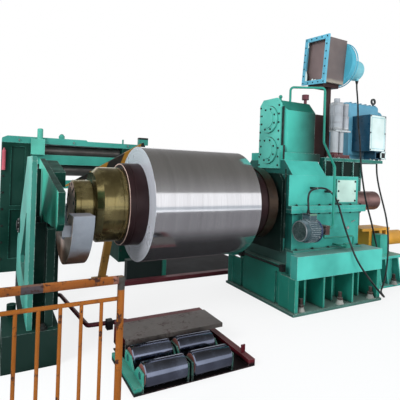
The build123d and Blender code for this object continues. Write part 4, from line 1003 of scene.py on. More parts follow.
class GeometryTree(NodeWriter):
    """Writes one Geometry Nodes tree with named inputs."""

    DIRECTION = "bolt_axis"

    def __init__(self, name: str) -> None:
        """Starts a tree with its geometry sockets.

        Args:
            name: The tree's name.
        """
        super().__init__(bpy.data.node_groups.new(name, "GeometryNodeTree"))
        for way in ("INPUT", "OUTPUT"):
            self.tree.interface.new_socket("Geometry", in_out=way, socket_type="NodeSocketGeometry")
        self.entry = self.node("NodeGroupInput")
        self.exit = self.node("NodeGroupOutput")
        self.identifiers: Dict[str, str] = {}

    def size(self, name: str, kind: str = "Float") -> Value:
        """Adds a named input.

        Args:
            name: What the size is.
            kind: Type of its socket.

        Returns:
            The input inside the tree.
        """
        item = self.tree.interface.new_socket(name, in_out="INPUT", socket_type="NodeSocket" + kind)
        self.identifiers[name] = item.identifier
        return Value(self, self.entry.outputs[name])

    def end(self, instances: Socket) -> None:
        """Ends the tree in Realize Instances and Set Material.

        Args:
            instances: What the tree made.
        """
        real = self.node("GeometryNodeRealizeInstances", None, {0: instances})
        dressing = {"Geometry": real.outputs[0], "Material": self.size("Material", "Material")}
        self.feed(self.exit.inputs[0], self.node("GeometryNodeSetMaterial", None, dressing).outputs[0])

    def run(self, name: str, spots: Sequence[Spot], values: Dict[str, object]) -> Piece:
        """Runs the tree on a set of points and gives the plain piece.

        Args:
            name: The piece's name.
            spots: Pairs of a point and the direction that it keeps.
            values: Values of the named inputs.

        Returns:
            The piece, with the points and the modifier gone.
        """
        seed = bpy.data.meshes.new(name + "_points")
        seed.from_pydata([tuple(point) for point, _ in spots], [], [])
        kept = seed.attributes.new(self.DIRECTION, "FLOAT_VECTOR", "POINT")
        for item, (_, direction) in zip(kept.data, spots):
            item.vector = direction
        base = linked(name + "_points", seed)
        modifier = base.modifiers.new("nodes", "NODES")
        modifier.node_group = self.tree
        for key, value in values.items():
            modifier[self.identifiers[key]] = value
        depsgraph = bpy.context.evaluated_depsgraph_get()
        depsgraph.update()
        mesh = bpy.data.meshes.new_from_object(base.evaluated_get(depsgraph), depsgraph=depsgraph)
        bpy.data.objects.remove(base)
        mesh.name = name
        return linked(name, mesh)


@dataclass(frozen=True)
class BoltSize:
    """Sizes of a hexagon bolt head on its washer, with its stud's end, in metres."""

    head_radius: float
    head_height: float
    washer_radius: float
    washer_height: float
    stud_radius: float
    stud_height: float


class BoltField:
    """Hexagon bolt heads set at many points by Geometry Nodes."""

    HEAD_SIDES = 6
    WASHER_SIDES = 16
    STUD_SIDES = 10
    TAPER = 0.93

    def __init__(self) -> None:
        """Writes the tree once."""
        tree = self.steps = GeometryTree("bolt_field")
        sizes = [tree.size(field.name) for field in fields(BoltSize)]
        head_radius, head, washer_radius, washer, stud_radius, stud = sizes
        way = {"Name": GeometryTree.DIRECTION}
        axis = tree.node("GeometryNodeInputNamedAttribute", {"data_type": "FLOAT_VECTOR"}, way)
        turn = tree.node("FunctionNodeAlignRotationToVector", {"axis": "Z"}, {"Vector": axis.outputs[0]})
        join = tree.node("GeometryNodeJoinGeometry")
        for sides, radius, height, lift in (
            (self.WASHER_SIDES, washer_radius, washer, 0.0),
            (self.HEAD_SIDES, head_radius, head, washer),
            (self.STUD_SIDES, stud_radius, stud, washer + head),
        ):
            tree.feed(join.inputs[0], self.disc(sides, radius, height, lift))
        points = tree.entry.outputs["Geometry"]
        standing = {"Points": points, "Instance": join.outputs[0], "Rotation": turn.outputs[0]}
        tree.end(tree.node("GeometryNodeInstanceOnPoints", None, standing).outputs[0])

    def disc(self, sides: int, radius: Value, height: Value, lift: Number) -> Socket:
        """Adds a many-sided disc standing on the point.

        Args:
            sides: Its sides.
            radius: Its radius.
            height: Its height.
            lift: How far above the point it starts.

        Returns:
            Its geometry.
        """
        solid = self.steps.node("GeometryNodeMeshCone", None, {
            "Vertices": sides, "Radius Top": radius * self.TAPER, "Radius Bottom": radius, "Depth": height,
        })
        rise = self.steps.node("ShaderNodeCombineXYZ", None, {2: lift})
        return self.steps.node("GeometryNodeTransform", None, {
            "Geometry": solid.outputs[0], "Translation": rise.outputs[0],
        }).outputs[0]

    def place(self, name: str, body: str, spots: Iterable[Spot], size: BoltSize, material: bpy.types.Material,
              slot: str) -> Piece:
        """Makes one piece of bolts.

        Args:
            name: The piece's name.
            body: CAD body that carries it.
            spots: Pairs of where a bolt sits and where it points.
            size: Their sizes.
            material: Their finish.
            slot: The record's slot; not used.

        Returns:
            The piece.
        """
        values = {**asdict(size), "Material": material}
        return Shape.carry(self.steps.run(name, list(spots), values), body, slot)


class FinRing:
    """Straight fins round a barrel, set by Geometry Nodes."""

    def __init__(self) -> None:
        """Writes the tree once."""
        tree = self.steps = GeometryTree("fin_ring")
        count = tree.size("Count", "Int")
        radius = tree.size("Radius")
        fin = tree.size("Fin Size", "Vector")
        centre = tree.size("Centre", "Vector")
        circle = tree.node("GeometryNodeMeshCircle", None, {"Vertices": count, "Radius": radius}).outputs[0]
        outward = tree.node("GeometryNodeInputPosition").outputs[0]
        turn = tree.node("FunctionNodeAlignRotationToVector", {"axis": "X"}, {"Vector": outward}).outputs[0]
        block = tree.node("GeometryNodeMeshCube", None, {"Size": fin}).outputs[0]
        standing = {"Points": circle, "Instance": block, "Rotation": turn}
        spread = tree.node("GeometryNodeInstanceOnPoints", None, standing).outputs[0]
        laid = {"Geometry": spread, "Translation": centre, "Rotation": (0, math.pi / 2, 0)}
        tree.end(tree.node("GeometryNodeTransform", None, laid).outputs[0])

    def place(self, name: str, body: str, centre: Triple, count: int, radius: float,
              fin: Triple, material: bpy.types.Material, slot: str) -> Piece:
        """Makes one ring of fins round an axis along X.

        Args:
            name: The piece's name.
            body: CAD body that carries it.
            centre: Middle of the barrel.
            count: How many fins.
            radius: Radius at the fins' middle.
            fin: A fin's height, thickness and length.
            material: Their finish.
            slot: The record's slot; not used.

        Returns:
            The piece.
        """
        values = {"Count": count, "Radius": radius, "Fin Size": tuple(fin), "Centre": tuple(centre)}
        ring = self.steps.run(name, spots_at([(0, 0, 0)], UP), {**values, "Material": material})
        return Shape.carry(ring, body, slot)


def circle_spots(centre: Triple, axis: Triple, radius: float, count: int, start: float) -> List[Spot]:
    """Bolt places on a circle.

    Args:
        centre: Middle of the circle.
        axis: Where the bolts point.
        radius: The circle's radius.
        count: How many.
        start: Turn of the first, in radians.

    Returns:
        Pairs of place and direction.
    """
    along, side, third = crosswise(axis)
    return [(place, along) for place in circle(Vector(centre), side, third, radius, count, start)]


def row_spots(start: Triple, end: Triple, axis: Triple, count: int) -> List[Spot]:
    """Evenly spaced bolt places from start to end, all pointing one way."""
    first, last = Vector(start), Vector(end)
    return [(first.lerp(last, i / (count - 1)), Vector(axis)) for i in range(count)]


def spots_at(places: Iterable[Triple], axis: Triple) -> List[Spot]:
    """Bolt places at given points, all pointing one way."""
    return [(Vector(place), Vector(axis)) for place in places]


@dataclass
class SubAssembly:
    """What every sub-assembly shares: its finishes, its makers of repeats and its CAD nodes."""

    FINISHES: ClassVar[Dict[str, str]] = {}
    finishes: Finishes
    bolts: BoltField
    fins: FinRing

    def build(self) -> None:
        """Puts each CAD node's finish on it and adds the detail pieces."""
        for name, finish in self.FINISHES.items():
            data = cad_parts[name].data
            data.materials.clear()
            data.materials.append(self.finishes.get(finish))
            log.info("node %s in %s", name, finish)
        self.details()

    def details(self) -> None:
        """Adds the pieces that only the looks need."""

    def piece(self, shape: Shape, name: str, finish: str, slot: str, bevel: float = 0.0, body: str = "stand",
              stands_for: Sequence[str] = ()) -> Piece:
        """Makes a piece from a shape, with its finish looked up by name."""
        return shape.make(name, body, self.finishes.get(finish), slot, bevel, stands_for)

    def fasten(self, name: str, spots: Iterable[Spot], size: BoltSize, finish: str, slot: str,
               body: str = "stand") -> Piece:
        """Makes one piece of bolts, with their finish looked up by name."""
        return self.bolts.place(name, body, spots, size, self.finishes.get(finish), slot)


@dataclass
class Cables(SubAssembly):
    """Two loose power cables with the sleeves where they leave and enter."""

    FINISHES = {"cable_clips": "bolt_dark"}
    PUMP_ROUTE = (
        (-0.52, -0.65, 1.175), (-0.52, -0.65, 1.26), (-0.522, -0.64, 1.35), (-0.48, -0.612, 1.425),
        (-0.4, -0.6, 1.463), (-0.285, -0.6, 1.48), (-0.155, -0.59, 1.462), (-0.045, -0.59, 1.395),
        (0.028, -0.6, 1.285), (0.066, -0.625, 1.14), (0.088, -0.668, 0.985), (0.112, -0.728, 0.82),
        (0.15, -0.772, 0.665), (0.222, -0.795, 0.54), (0.32, -0.815, 0.415), (0.435, -0.826, 0.295),
        (0.56, -0.818, 0.185), (0.69, -0.788, 0.095), (0.815, -0.728, 0.036), (0.915, -0.645, 0.014),
        (1, -0.55, 0.013), (1.085, -0.48, 0.016), (1.165, -0.446, 0.048), (1.222, -0.434, 0.135),
        (1.262, -0.428, 0.265), (1.3, -0.416, 0.43), (1.325, -0.402, 0.62), (1.345, -0.375, 0.83),
        (1.335, -0.345, 1.04), (1.305, -0.3, 1.25), (1.268, -0.262, 1.45), (1.254, -0.226, 1.64),
        (1.268, -0.202, 1.79), (1.268, -0.202, 1.888),
    )
    BLOWER_ROUTE = (
        (1.015, 0, 3.077), (1.015, 0, 2.99), (1, -0.025, 2.895), (0.965, -0.065, 2.8),
        (0.912, -0.12, 2.69), (0.835, -0.19, 2.56), (0.75, -0.27, 2.38), (0.7, -0.345, 2.17),
        (0.655, -0.4, 1.96), (0.635, -0.435, 1.76), (0.652, -0.458, 1.565), (0.7, -0.46, 1.38),
        (0.785, -0.44, 1.21), (0.895, -0.412, 1.05), (0.99, -0.388, 0.88), (1.085, -0.355, 0.73),
        (1.172, -0.318, 0.625), (1.225, -0.292, 0.53), (1.225, -0.292, 0.44),
    )
    diameter: float = 0.024
    pump_length: float = 4.808
    blower_length: float = 2.953
    sleeve_length: float = 0.045
    sleeve_radius: float = 0.023
    sleeve_gap: float = 0.0004
    sleeve_wall: float = 0.0016
    ridges: int = 4
    ridge_height: float = 0.0012
    strap_places: Tuple[Point, ...] = ((-0.345, -0.6, 1.471), (-0.1, -0.59, 1.4285))
    strap_width: float = 0.014
    strap_gap: float = 0.0005
    strap_wall: float = 0.004

    def line(self, name: str, route: Sequence[Point]) -> Piece:
        """Draws one cable along its route.

        Args:
            name: The piece's name.
            route: Control points of its spline.

        Returns:
            The curve object.
        """
        data = bpy.data.curves.new(name, "CURVE")
        data.dimensions = "3D"
        spline = data.splines.new("NURBS")
        spline.points.add(len(route) - 1)
        for point, place in zip(spline.points, route):
            point.co = (*place, 1)
        spline.order_u = 3
        spline.use_endpoint_u = True
        spline.resolution_u = 8
        data.bevel_depth = self.diameter / 2
        data.bevel_resolution = 3
        data.use_fill_caps = True
        data.materials.append(self.finishes.get("rubber"))
        return linked(name, data)

    def sleeve(self, name: str, place: Point, way: Point) -> Piece:
        """Makes the tapered sleeve at a cable's end.

        Args:
            name: The piece's name.
            place: Where the cable meets the housing.
            way: Direction in which the cable runs from there.

        Returns:
            The sleeve.
        """
        inner = self.diameter / 2 + self.sleeve_gap
        step = self.sleeve_length / (self.ridges + 1)
        profile = [(0.0, inner), (0.0, self.sleeve_radius), (step, self.sleeve_radius)]
        for ridge in range(1, self.ridges + 1):
            outer = self.sleeve_radius - ridge * (self.sleeve_radius - inner - self.sleeve_wall) / self.ridges
            crest = outer + self.ridge_height
            profile += [(step * ridge, crest), (step * (ridge + 0.6), crest), (step * (ridge + 0.7), outer)]
        profile[-1] = (self.sleeve_length, profile[-1][1])
        profile.append((self.sleeve_length, inner))
        body = Shape().lathe(place, way, profile, 24, True)
        return self.piece(body, name, "black", "black_rubber")

    def details(self) -> None:
        """Lays both cables and straps the first to its clips."""
        for name, route, length, lay, ways in (
            ("pump_cable", self.PUMP_ROUTE, self.pump_length, "loose", (UP, DOWN)),
            ("blower_cable", self.BLOWER_ROUTE, self.blower_length, "hanging", (DOWN, UP)),
        ):
            cable = self.line(name, route)
            ends = [
                self.sleeve(f"{name}_sleeve_{end}", place, way)
                for end, place, way in zip(("near", "far"), (route[0], route[-1]), ways)
            ]
            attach(cable, "stand")
            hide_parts(name.replace("_cable", "_motor_cable"))
            log.info("piece %s, %.2f m", name, length)
        inner, outer = self.diameter / 2 + self.strap_gap, self.diameter / 2 + self.strap_wall
        straps = Shape()
        for x, y, z in self.strap_places:
            straps.ring((x - self.strap_width / 2, y, z), TO_DRIVE, inner, outer, self.strap_width, 24)
        self.piece(straps, "cable_straps", "zinc", "dark_steel")


@dataclass
class DriveStand(SubAssembly):
    """Base, gear case and gear head with their covers, bolts, corner pipe and sight glass."""

    FINISHES = {
        "drive_sole_plate": "sole", "drive_base": "teal_base", "box_beams": "teal_beam",
        "anchor_bolts": "anchor", "gearbox_lower_case": "teal_case", "gearbox_upper_case": "teal_upper",
        "gear_head": "teal_head", "head_plate": "teal_pale", "end_covers": "teal_pale",
        # The bearing plate's near-black green is painted shade, for the shadow on the coil side of the case.
        "bearing_plate": "green_deep", "locking_rod": "oily", "breather_cap": "breather",
        "lube_pipe": "teal_pipe", "pump_outlet_pipe": "teal_pipe",
    }
    small: BoltSize = BoltSize(0.011, 0.008, 0.014, 0.002, 0.006, 0.003)
    medium: BoltSize = BoltSize(0.015, 0.011, 0.02, 0.003, 0.009, 0.006)
    large: BoltSize = BoltSize(0.022, 0.016, 0.03, 0.004, 0.014, 0.014)
    cover_heights: Tuple[float, float] = (1.93, 2.33)
    cover_side: float = -0.06
    cover_circle: float = 0.138
    cover_turn: float = 0.39
    cover_step: float = 0.012
    cover_rim: float = 0.1702
    cover_foot: float = -0.6805
    rim_width: float = 0.006
    plate_inset: float = 0.02
    split_inset: float = 0.026
    split_rise: float = 0.044
    foot_side: float = 0.528
    foot_top: float = 0.716
    bearing_centre: Point = (-0.74, 0, 1.253)
    bearing_circle: float = 0.35
    panel_left: float = 0.085
    panel_right: float = 0.455
    panel_low: float = 1.279
    panel_high: float = 1.589
    panel_gap: float = 0.012
    panel_thickness: float = 0.004
    screw_inset: float = 0.03
    case_side: float = 0.518
    shadow_strip_proud: float = 0.0015
    corner_route: Tuple[Point, ...] = (
        (-0.716, -0.462, 0.86), (-0.716, -0.462, 1.3), (-0.716, -0.455, 1.45), (-0.716, -0.455, 1.7),
    )
    corner_radius: float = 0.009
    nut_heights: Tuple[float, ...] = (1.0, 1.36, 1.6)
    nut_length: float = 0.035
    nut_radius: float = 0.015
    glass_place: Point = (0.33, -0.504, 0.95)
    weld_radius: float = 0.006
    weld_lift: float = 0.002

    def details(self) -> None:
        """Adds the bolts, cover sheets, painted shadow strips, corner pipe, lever, sight glass and welds."""
        self.head_bolts()
        self.case_bolts()
        self.panels()
        self.shadow_strips()
        self.fittings()
        self.welds()

    def head_bolts(self) -> None:
        """Adds the bolts of the head's round covers and front plate."""
        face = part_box("end_covers")[0].x + self.cover_step
        spots = []
        for height in self.cover_heights:
            centre = (face, self.cover_side, height)
            spots += circle_spots(centre, TO_NOSE, self.cover_circle, 8, self.cover_turn)
        self.fasten("cover_bolts", spots, self.small, "bolt_dark", "green_paint")
        low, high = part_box("head_plate")
        spots = []
        for side in (low.y + self.plate_inset, high.y - self.plate_inset):
            spots += row_spots((low.x, side, low.z + 0.04), (low.x, side, high.z - 0.1), TO_NOSE, 8)
        self.fasten("head_plate_bolts", spots, self.small, "bolt_dark", "green_paint")

    def case_bolts(self) -> None:
        """Adds the bolts of the split flange, the feet and the bearing plate."""
        low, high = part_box("gearbox_lower_case")
        left, right, top = low.x + 0.1, high.x - 0.08, high.z + self.split_rise
        spots = []
        for side in (low.y + self.split_inset, high.y - self.split_inset):
            for height, way in ((top, UP), (top - 2 * self.split_rise, DOWN)):
                spots += row_spots((left, side, height), (right, side, height), way, 7)
        self.fasten("split_bolts", spots, self.medium, "bolt_dark", "green_paint")
        spots = []
        for side in (-self.foot_side, self.foot_side):
            spots += row_spots((-0.58, side, self.foot_top), (0.5, side, self.foot_top), UP, 5)
        self.fasten("foot_bolts", spots, self.medium, "bolt_dark", "green_paint")
        spots = circle_spots(self.bearing_centre, TO_NOSE, self.bearing_circle, 16, 0.2)
        self.fasten("bearing_bolts", spots, self.large, "bolt_dark", "green_paint")

    def panels(self) -> None:
        """Adds the cover sheet on each long side of the upper case."""
        sheet = Shape()
        spots = []
        for side in (-1, 1):
            near = side * self.case_side
            far = near + side * self.panel_thickness
            sheet.box((self.panel_left + self.panel_gap, min(near, far), self.panel_low + self.panel_gap),
                      (self.panel_right - self.panel_gap, max(near, far), self.panel_high - self.panel_gap))
            for x in (self.panel_left + self.screw_inset, self.panel_right - self.screw_inset):
                spots += row_spots((x, far, self.panel_low + self.screw_inset),
                                   (x, far, self.panel_high - self.screw_inset), (0, side, 0), 3)
        self.piece(sheet, "inspection_sheets", "mint", "green_paint", 0.0015)
        self.fasten("inspection_bolts", spots, self.small, "bolt_dark", "green_paint")

    def shadow_strips(self) -> None:
        """Adds black strips as painted shadow in the gaps beside the head's covers and round them."""
        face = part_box("gear_head")[0].x
        outer, inner = face - self.shadow_strip_proud, face + 0.001
        shadow_strip = Shape()
        shadow_strip.box((outer, -0.314, 1.99), (inner, -0.272, 2.48))
        shadow_strip.box((outer, -0.345, 1.815), (inner, -0.31, 1.99))
        for height in self.cover_heights:
            shadow_strip.ring((self.cover_foot, self.cover_side, height), TO_DRIVE, self.cover_rim,
                      self.cover_rim + self.rim_width, 0.003, 64)
        self.piece(shadow_strip, "head_shadow_strips", "black", "dark_green_paint")

    def fittings(self) -> None:
        """Adds the pipe at the case's corner, the lever by the cover sheet and the oil level glass."""
        pipe = Shape().tube(self.corner_route, self.corner_radius)
        for z in self.nut_heights:
            pipe.rod((-0.716, -0.458, z), (-0.716, -0.458, z + self.nut_length), self.nut_radius, 6)
        self.piece(pipe, "corner_pipe", "green_deep", "dark_green_paint")
        lever = Shape().rod((0.075, -0.522, 1.273), (0.075, -0.556, 1.273), 0.011)
        lever.rod((0.02, -0.549, 1.279), (0.13, -0.549, 1.267), 0.007)
        self.piece(lever, "panel_lever", "black", "dark_steel")
        glass = Shape().lathe(self.glass_place, TO_RAIL, [
            (-0.01, 0), (-0.01, 0.022), (0.008, 0.022), (0.011, 0.018), (0.008, 0.013), (0.008, 0),
        ], 24)
        glass.rod((0.4, -0.5, 1.02), (0.44, -0.53, 1.05), 0.006)
        self.piece(glass, "level_glass", "zinc", "grey_paint")

    def welds(self) -> None:
        """Adds the weld bead round the foot of the base."""
        low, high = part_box("drive_base")
        z = low.z + self.weld_lift
        bead = Shape()
        for side in (low.y - self.weld_lift, high.y + self.weld_lift):
            bead.rod((low.x + 0.01, side, z), (high.x - 0.01, side, z), self.weld_radius, 8)
        for side in (low.x - self.weld_lift, high.x + self.weld_lift):
            bead.rod((side, low.y + 0.01, z), (side, high.y - 0.01, z), self.weld_radius, 8)
        self.piece(bead, "base_welds", "teal_base", "green_paint")


@dataclass
class LubePump(SubAssembly):
    """Finned motor, coupling and pump on the front of the gear case."""

    FINISHES = {"pump_motor": "motor_grey", "oil_pump": "pump_tones"}
    lid_screw: BoltSize = BoltSize(0.005, 0.001, 0.007, 0.001, 0.002, 0.0002)
    flange_bolt: BoltSize = BoltSize(0.009, 0.007, 0.012, 0.002, 0.005, 0.002)
    axis_y: float = -0.65
    axis_z: float = 0.972
    cowl_length: float = 0.075
    flange_step: float = 0.01
    fin_count: int = 36
    fin_circle: float = 0.136
    fin_height: float = 0.012
    fin_thickness: float = 0.005
    grille_radii: Tuple[float, ...] = (0.02, 0.04, 0.06, 0.08, 0.1)
    grille_wire: float = 0.005
    spokes: int = 8
    flange_face: float = -0.445

    def details(self) -> None:
        """Adds the fins, the fan cowl's grille, the box lid and the flange bolts."""
        low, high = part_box("pump_motor")
        left, top = low.x, high.z
        start, end = left + self.cowl_length, high.x - self.flange_step
        middle, fin = (start + end) / 2, (self.fin_height, self.fin_thickness, end - start)
        self.fins.place("pump_fins", "stand", (middle, self.axis_y, self.axis_z), self.fin_count,
                        self.fin_circle, fin, self.finishes.get("motor_grey"), "grey_paint")
        self.grille(left)
        rim = Shape().ring((left - 0.003, self.axis_y, self.axis_z), TO_DRIVE, 0.111, 0.121, 0.01, 48)
        self.piece(rim, "pump_cowl_rim", "silver", "grey_paint", 0.002)
        lid = Shape().box((left + 0.1, self.axis_y - 0.062, top - 0.022),
                          (left + 0.212, self.axis_y + 0.062, top))
        self.piece(lid, "pump_box_lid", "box_green", "grey_paint", 0.004)
        screws = [(left + x, self.axis_y + y, top) for x in (0.112, 0.2) for y in (-0.05, 0.05)]
        self.fasten("pump_lid_screws", spots_at(screws, UP), self.lid_screw, "zinc", "grey_paint")
        centre = (self.flange_face, self.axis_y, self.axis_z)
        spots = circle_spots(centre, TO_NOSE, self.fin_circle, 8, 0.3)
        self.fasten("pump_flange_bolts", spots, self.flange_bolt, "zinc", "grey_paint")

    def grille(self, left: float) -> None:
        """Adds the fan cowl's rings and spokes, with the dark disc behind them.

        Args:
            left: Where the cowl ends.
        """
        centre = Vector((left - 0.004, self.axis_y, self.axis_z))
        grille = Shape()
        for radius in self.grille_radii:
            grille.ring(centre, TO_DRIVE, radius - self.grille_wire, radius + self.grille_wire, 0.006, 32)
        for turn in range(self.spokes):
            angle = 2 * math.pi * turn / self.spokes
            out = Vector((0, math.cos(angle), math.sin(angle)))
            grille.rod(centre + out * 0.012, centre + out * 0.108, 0.003, 6)
        disc = [(left - gap, self.axis_y, self.axis_z) for gap in (0.0005, 0.0025)]
        grille.rod(*disc, 0.109, 48)
        self.piece(grille, "pump_grille", "grille", "grey_paint")


@dataclass
class MotorDeck(SubAssembly):
    """Platform with the main motor, its terminal box and the brake thruster."""

    FINISHES = {
        "motor_platform": "platform", "main_motor": "motor_blue", "terminal_box": "terminal_box_shaded",
        "brake_thruster": "thruster", "tail_base": "teal_beam", "cylinder_pedestal": "teal",
        "hydraulic_cylinder": "ochre",
    }
    deck_bolt: BoltSize = BoltSize(0.013, 0.01, 0.018, 0.003, 0.008, 0.006)
    tail_bolt: BoltSize = BoltSize(0.018, 0.013, 0.024, 0.004, 0.011, 0.008)
    lid_screw: BoltSize = BoltSize(0.008, 0.005, 0.011, 0.002, 0.002, 0.001)
    thruster_x: float = 0.355
    thruster_y: float = -0.23
    barrel_bands: Tuple[Point, ...] = (
        (2.262, 0.087, 0.03), (2.36, 0.0855, 0.01), (2.47, 0.0855, 0.01), (2.6, 0.087, 0.034),
    )
    lift_x: float = 0.512
    lift_bands: Tuple[Point, ...] = ((2.262, 0.062, 0.024), (2.44, 0.062, 0.02), (2.61, 0.053, 0.026))
    tie_rods: int = 5
    tie_circle: float = 0.09
    tie_clear: float = -0.312
    bead: Tuple[Tuple[float, float, float, float], ...] = (
        (0.03, 0.15, 0.32, 0.155), (0.03, 0.6, 0.32, 0.605), (0.03, 0.15, 0.035, 0.605),
        (0.315, 0.15, 0.32, 0.605),
    )
    deck_top: float = 1.87
    web_front: float = -0.33
    web_top: float = 1.849
    web_foot: float = 1.6
    web_ribs: Tuple[float, ...] = (0.07, 0.22, 0.4, 0.61, 0.77)
    top_ribs: Tuple[float, ...] = (0.9, 1.01, 1.12, 1.23, 1.34, 1.45)
    louvres: int = 9
    louvre_foot: float = 2.05
    louvre_pitch: float = 0.06

    def details(self) -> None:
        """Adds the terminal box's face, the thruster's bands, the motor's ribs and the deck's web."""
        self.terminal_lid()
        self.cable_window()
        self.thruster_bands()
        self.motor_ribs()
        self.deck_bays()
        spots = row_spots((0.12, -0.31, self.deck_top), (1.2, -0.31, self.deck_top), UP, 6)
        spots += row_spots((0.9, 0.49, self.deck_top), (1.46, 0.49, self.deck_top), UP, 4)
        self.fasten("platform_bolts", spots, self.deck_bolt, "zinc", "green_paint")
        low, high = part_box("tail_base")
        places = [(x, y, high.z) for x in (low.x + 0.05, high.x - 0.05) for y in (-0.34, -0.1, 0.1, 0.34)]
        self.fasten("tail_bolts", spots_at(places, UP), self.tail_bolt, "bolt_dark", "green_paint")

    def terminal_lid(self) -> None:
        """Adds the terminal box's lid with its bead and screws; the lid's near-white is the lit copy of the
        box's paint, as painted light.
        """
        low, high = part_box("terminal_box")
        lid = Shape().box((low.x + 0.006, low.y - 0.0005, low.z + 0.118),
                          (low.x + 0.344, low.y + 0.012, high.z - 0.006))
        self.piece(lid, "terminal_lid", "mint_panel", "blue_paint", 0.003)
        bead = Shape()
        for left, bottom, right, top in self.bead:
            bead.box((low.x + left, low.y - 0.003, low.z + bottom),
                     (low.x + right, low.y + 0.001, low.z + top))
        self.piece(bead, "terminal_bead", "sky_pale", "blue_paint")
        places = [(low.x + x, low.y, low.z + z) for x in (0.018, 0.332) for z in (0.136, 0.38, 0.622)]
        self.fasten("terminal_screws", spots_at(places, TO_RAIL), self.lid_screw, "bolt_dark", "blue_paint")

    def cable_window(self) -> None:
        """Adds the framed opening for the cables at the box's lower corner, with a black plate in it as
        painted shade.
        """
        low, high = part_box("terminal_box")
        left, right, bottom, top = high.x - 0.118, high.x - 0.004, low.z + 0.004, low.z + 0.112
        window = Shape()
        for a, b in (
            ((left, bottom), (right, bottom + 0.016)), ((left, top - 0.016), (right, top)),
            ((left, bottom), (left + 0.016, top)), ((right - 0.014, bottom), (right, top)),
        ):
            window.box((a[0], low.y - 0.004, a[1]), (b[0], low.y + 0.004, b[1]))
        self.piece(window, "cable_window", "mint_panel", "blue_paint")
        dark = Shape().box((left + 0.014, low.y - 0.001, bottom + 0.014),
                           (right - 0.012, low.y + 0.003, top - 0.014))
        self.piece(dark, "cable_window_shade", "black", "black_rubber")

    def thruster_bands(self) -> None:
        """Adds the bands round the thruster's two barrels and the rods that tie the larger one."""
        bands = Shape()
        for x, rings, depth, sides in (
            (self.thruster_x, self.barrel_bands, 0.014, 40), (self.lift_x, self.lift_bands, 0.012, 32),
        ):
            for z, radius, height in rings:
                bands.ring((x, self.thruster_y, z), UP, radius - depth, radius, height, sides)
        for turn in range(self.tie_rods):
            angle = math.radians(150 + 48 * turn)
            x = self.thruster_x + self.tie_circle * math.cos(angle)
            y = self.thruster_y + self.tie_circle * math.sin(angle)
            if y > self.tie_clear:
                bands.rod((x, y, 2.262), (x, y, 2.63), 0.006, 8)
        self.piece(bands, "thruster_bands", "silver", "silver_grey", 0.0015)

    def motor_ribs(self) -> None:
        """Adds the motor's top ribs and side louvres."""
        low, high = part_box("main_motor")
        ribs = Shape()
        for x in self.top_ribs:
            ribs.box((x, 0.0, 2.743), (x + 0.03, 0.44, 2.751))
        for step in range(self.louvres):
            z = self.louvre_foot + self.louvre_pitch * step
            for side in (low.y - 0.006, high.y - 0.002):
                ribs.box((1.31, side, z), (1.58, side + 0.008, z + 0.022))
        self.piece(ribs, "motor_ribs", "motor_blue", "blue_paint", 0.002)

    def deck_bays(self) -> None:
        """Adds a near-black web under the deck's front edge, painted shade for the dark bays, with its pale
        ribs and flange.
        """
        front, foot = self.web_front, self.web_foot
        web = Shape().box((0.06, front + 0.022, foot), (0.78, front + 0.03, self.web_top))
        self.piece(web, "deck_shade_web", "green_deep", "dark_green_paint")
        ribs = Shape().box((0.604, front, foot - 0.01), (0.78, front + 0.03, foot))
        for x in self.web_ribs:
            ribs.box((x, front, foot), (x + 0.01, front + 0.022, self.web_top))
        self.piece(ribs, "deck_ribs", "platform", "green_paint", 0.001)


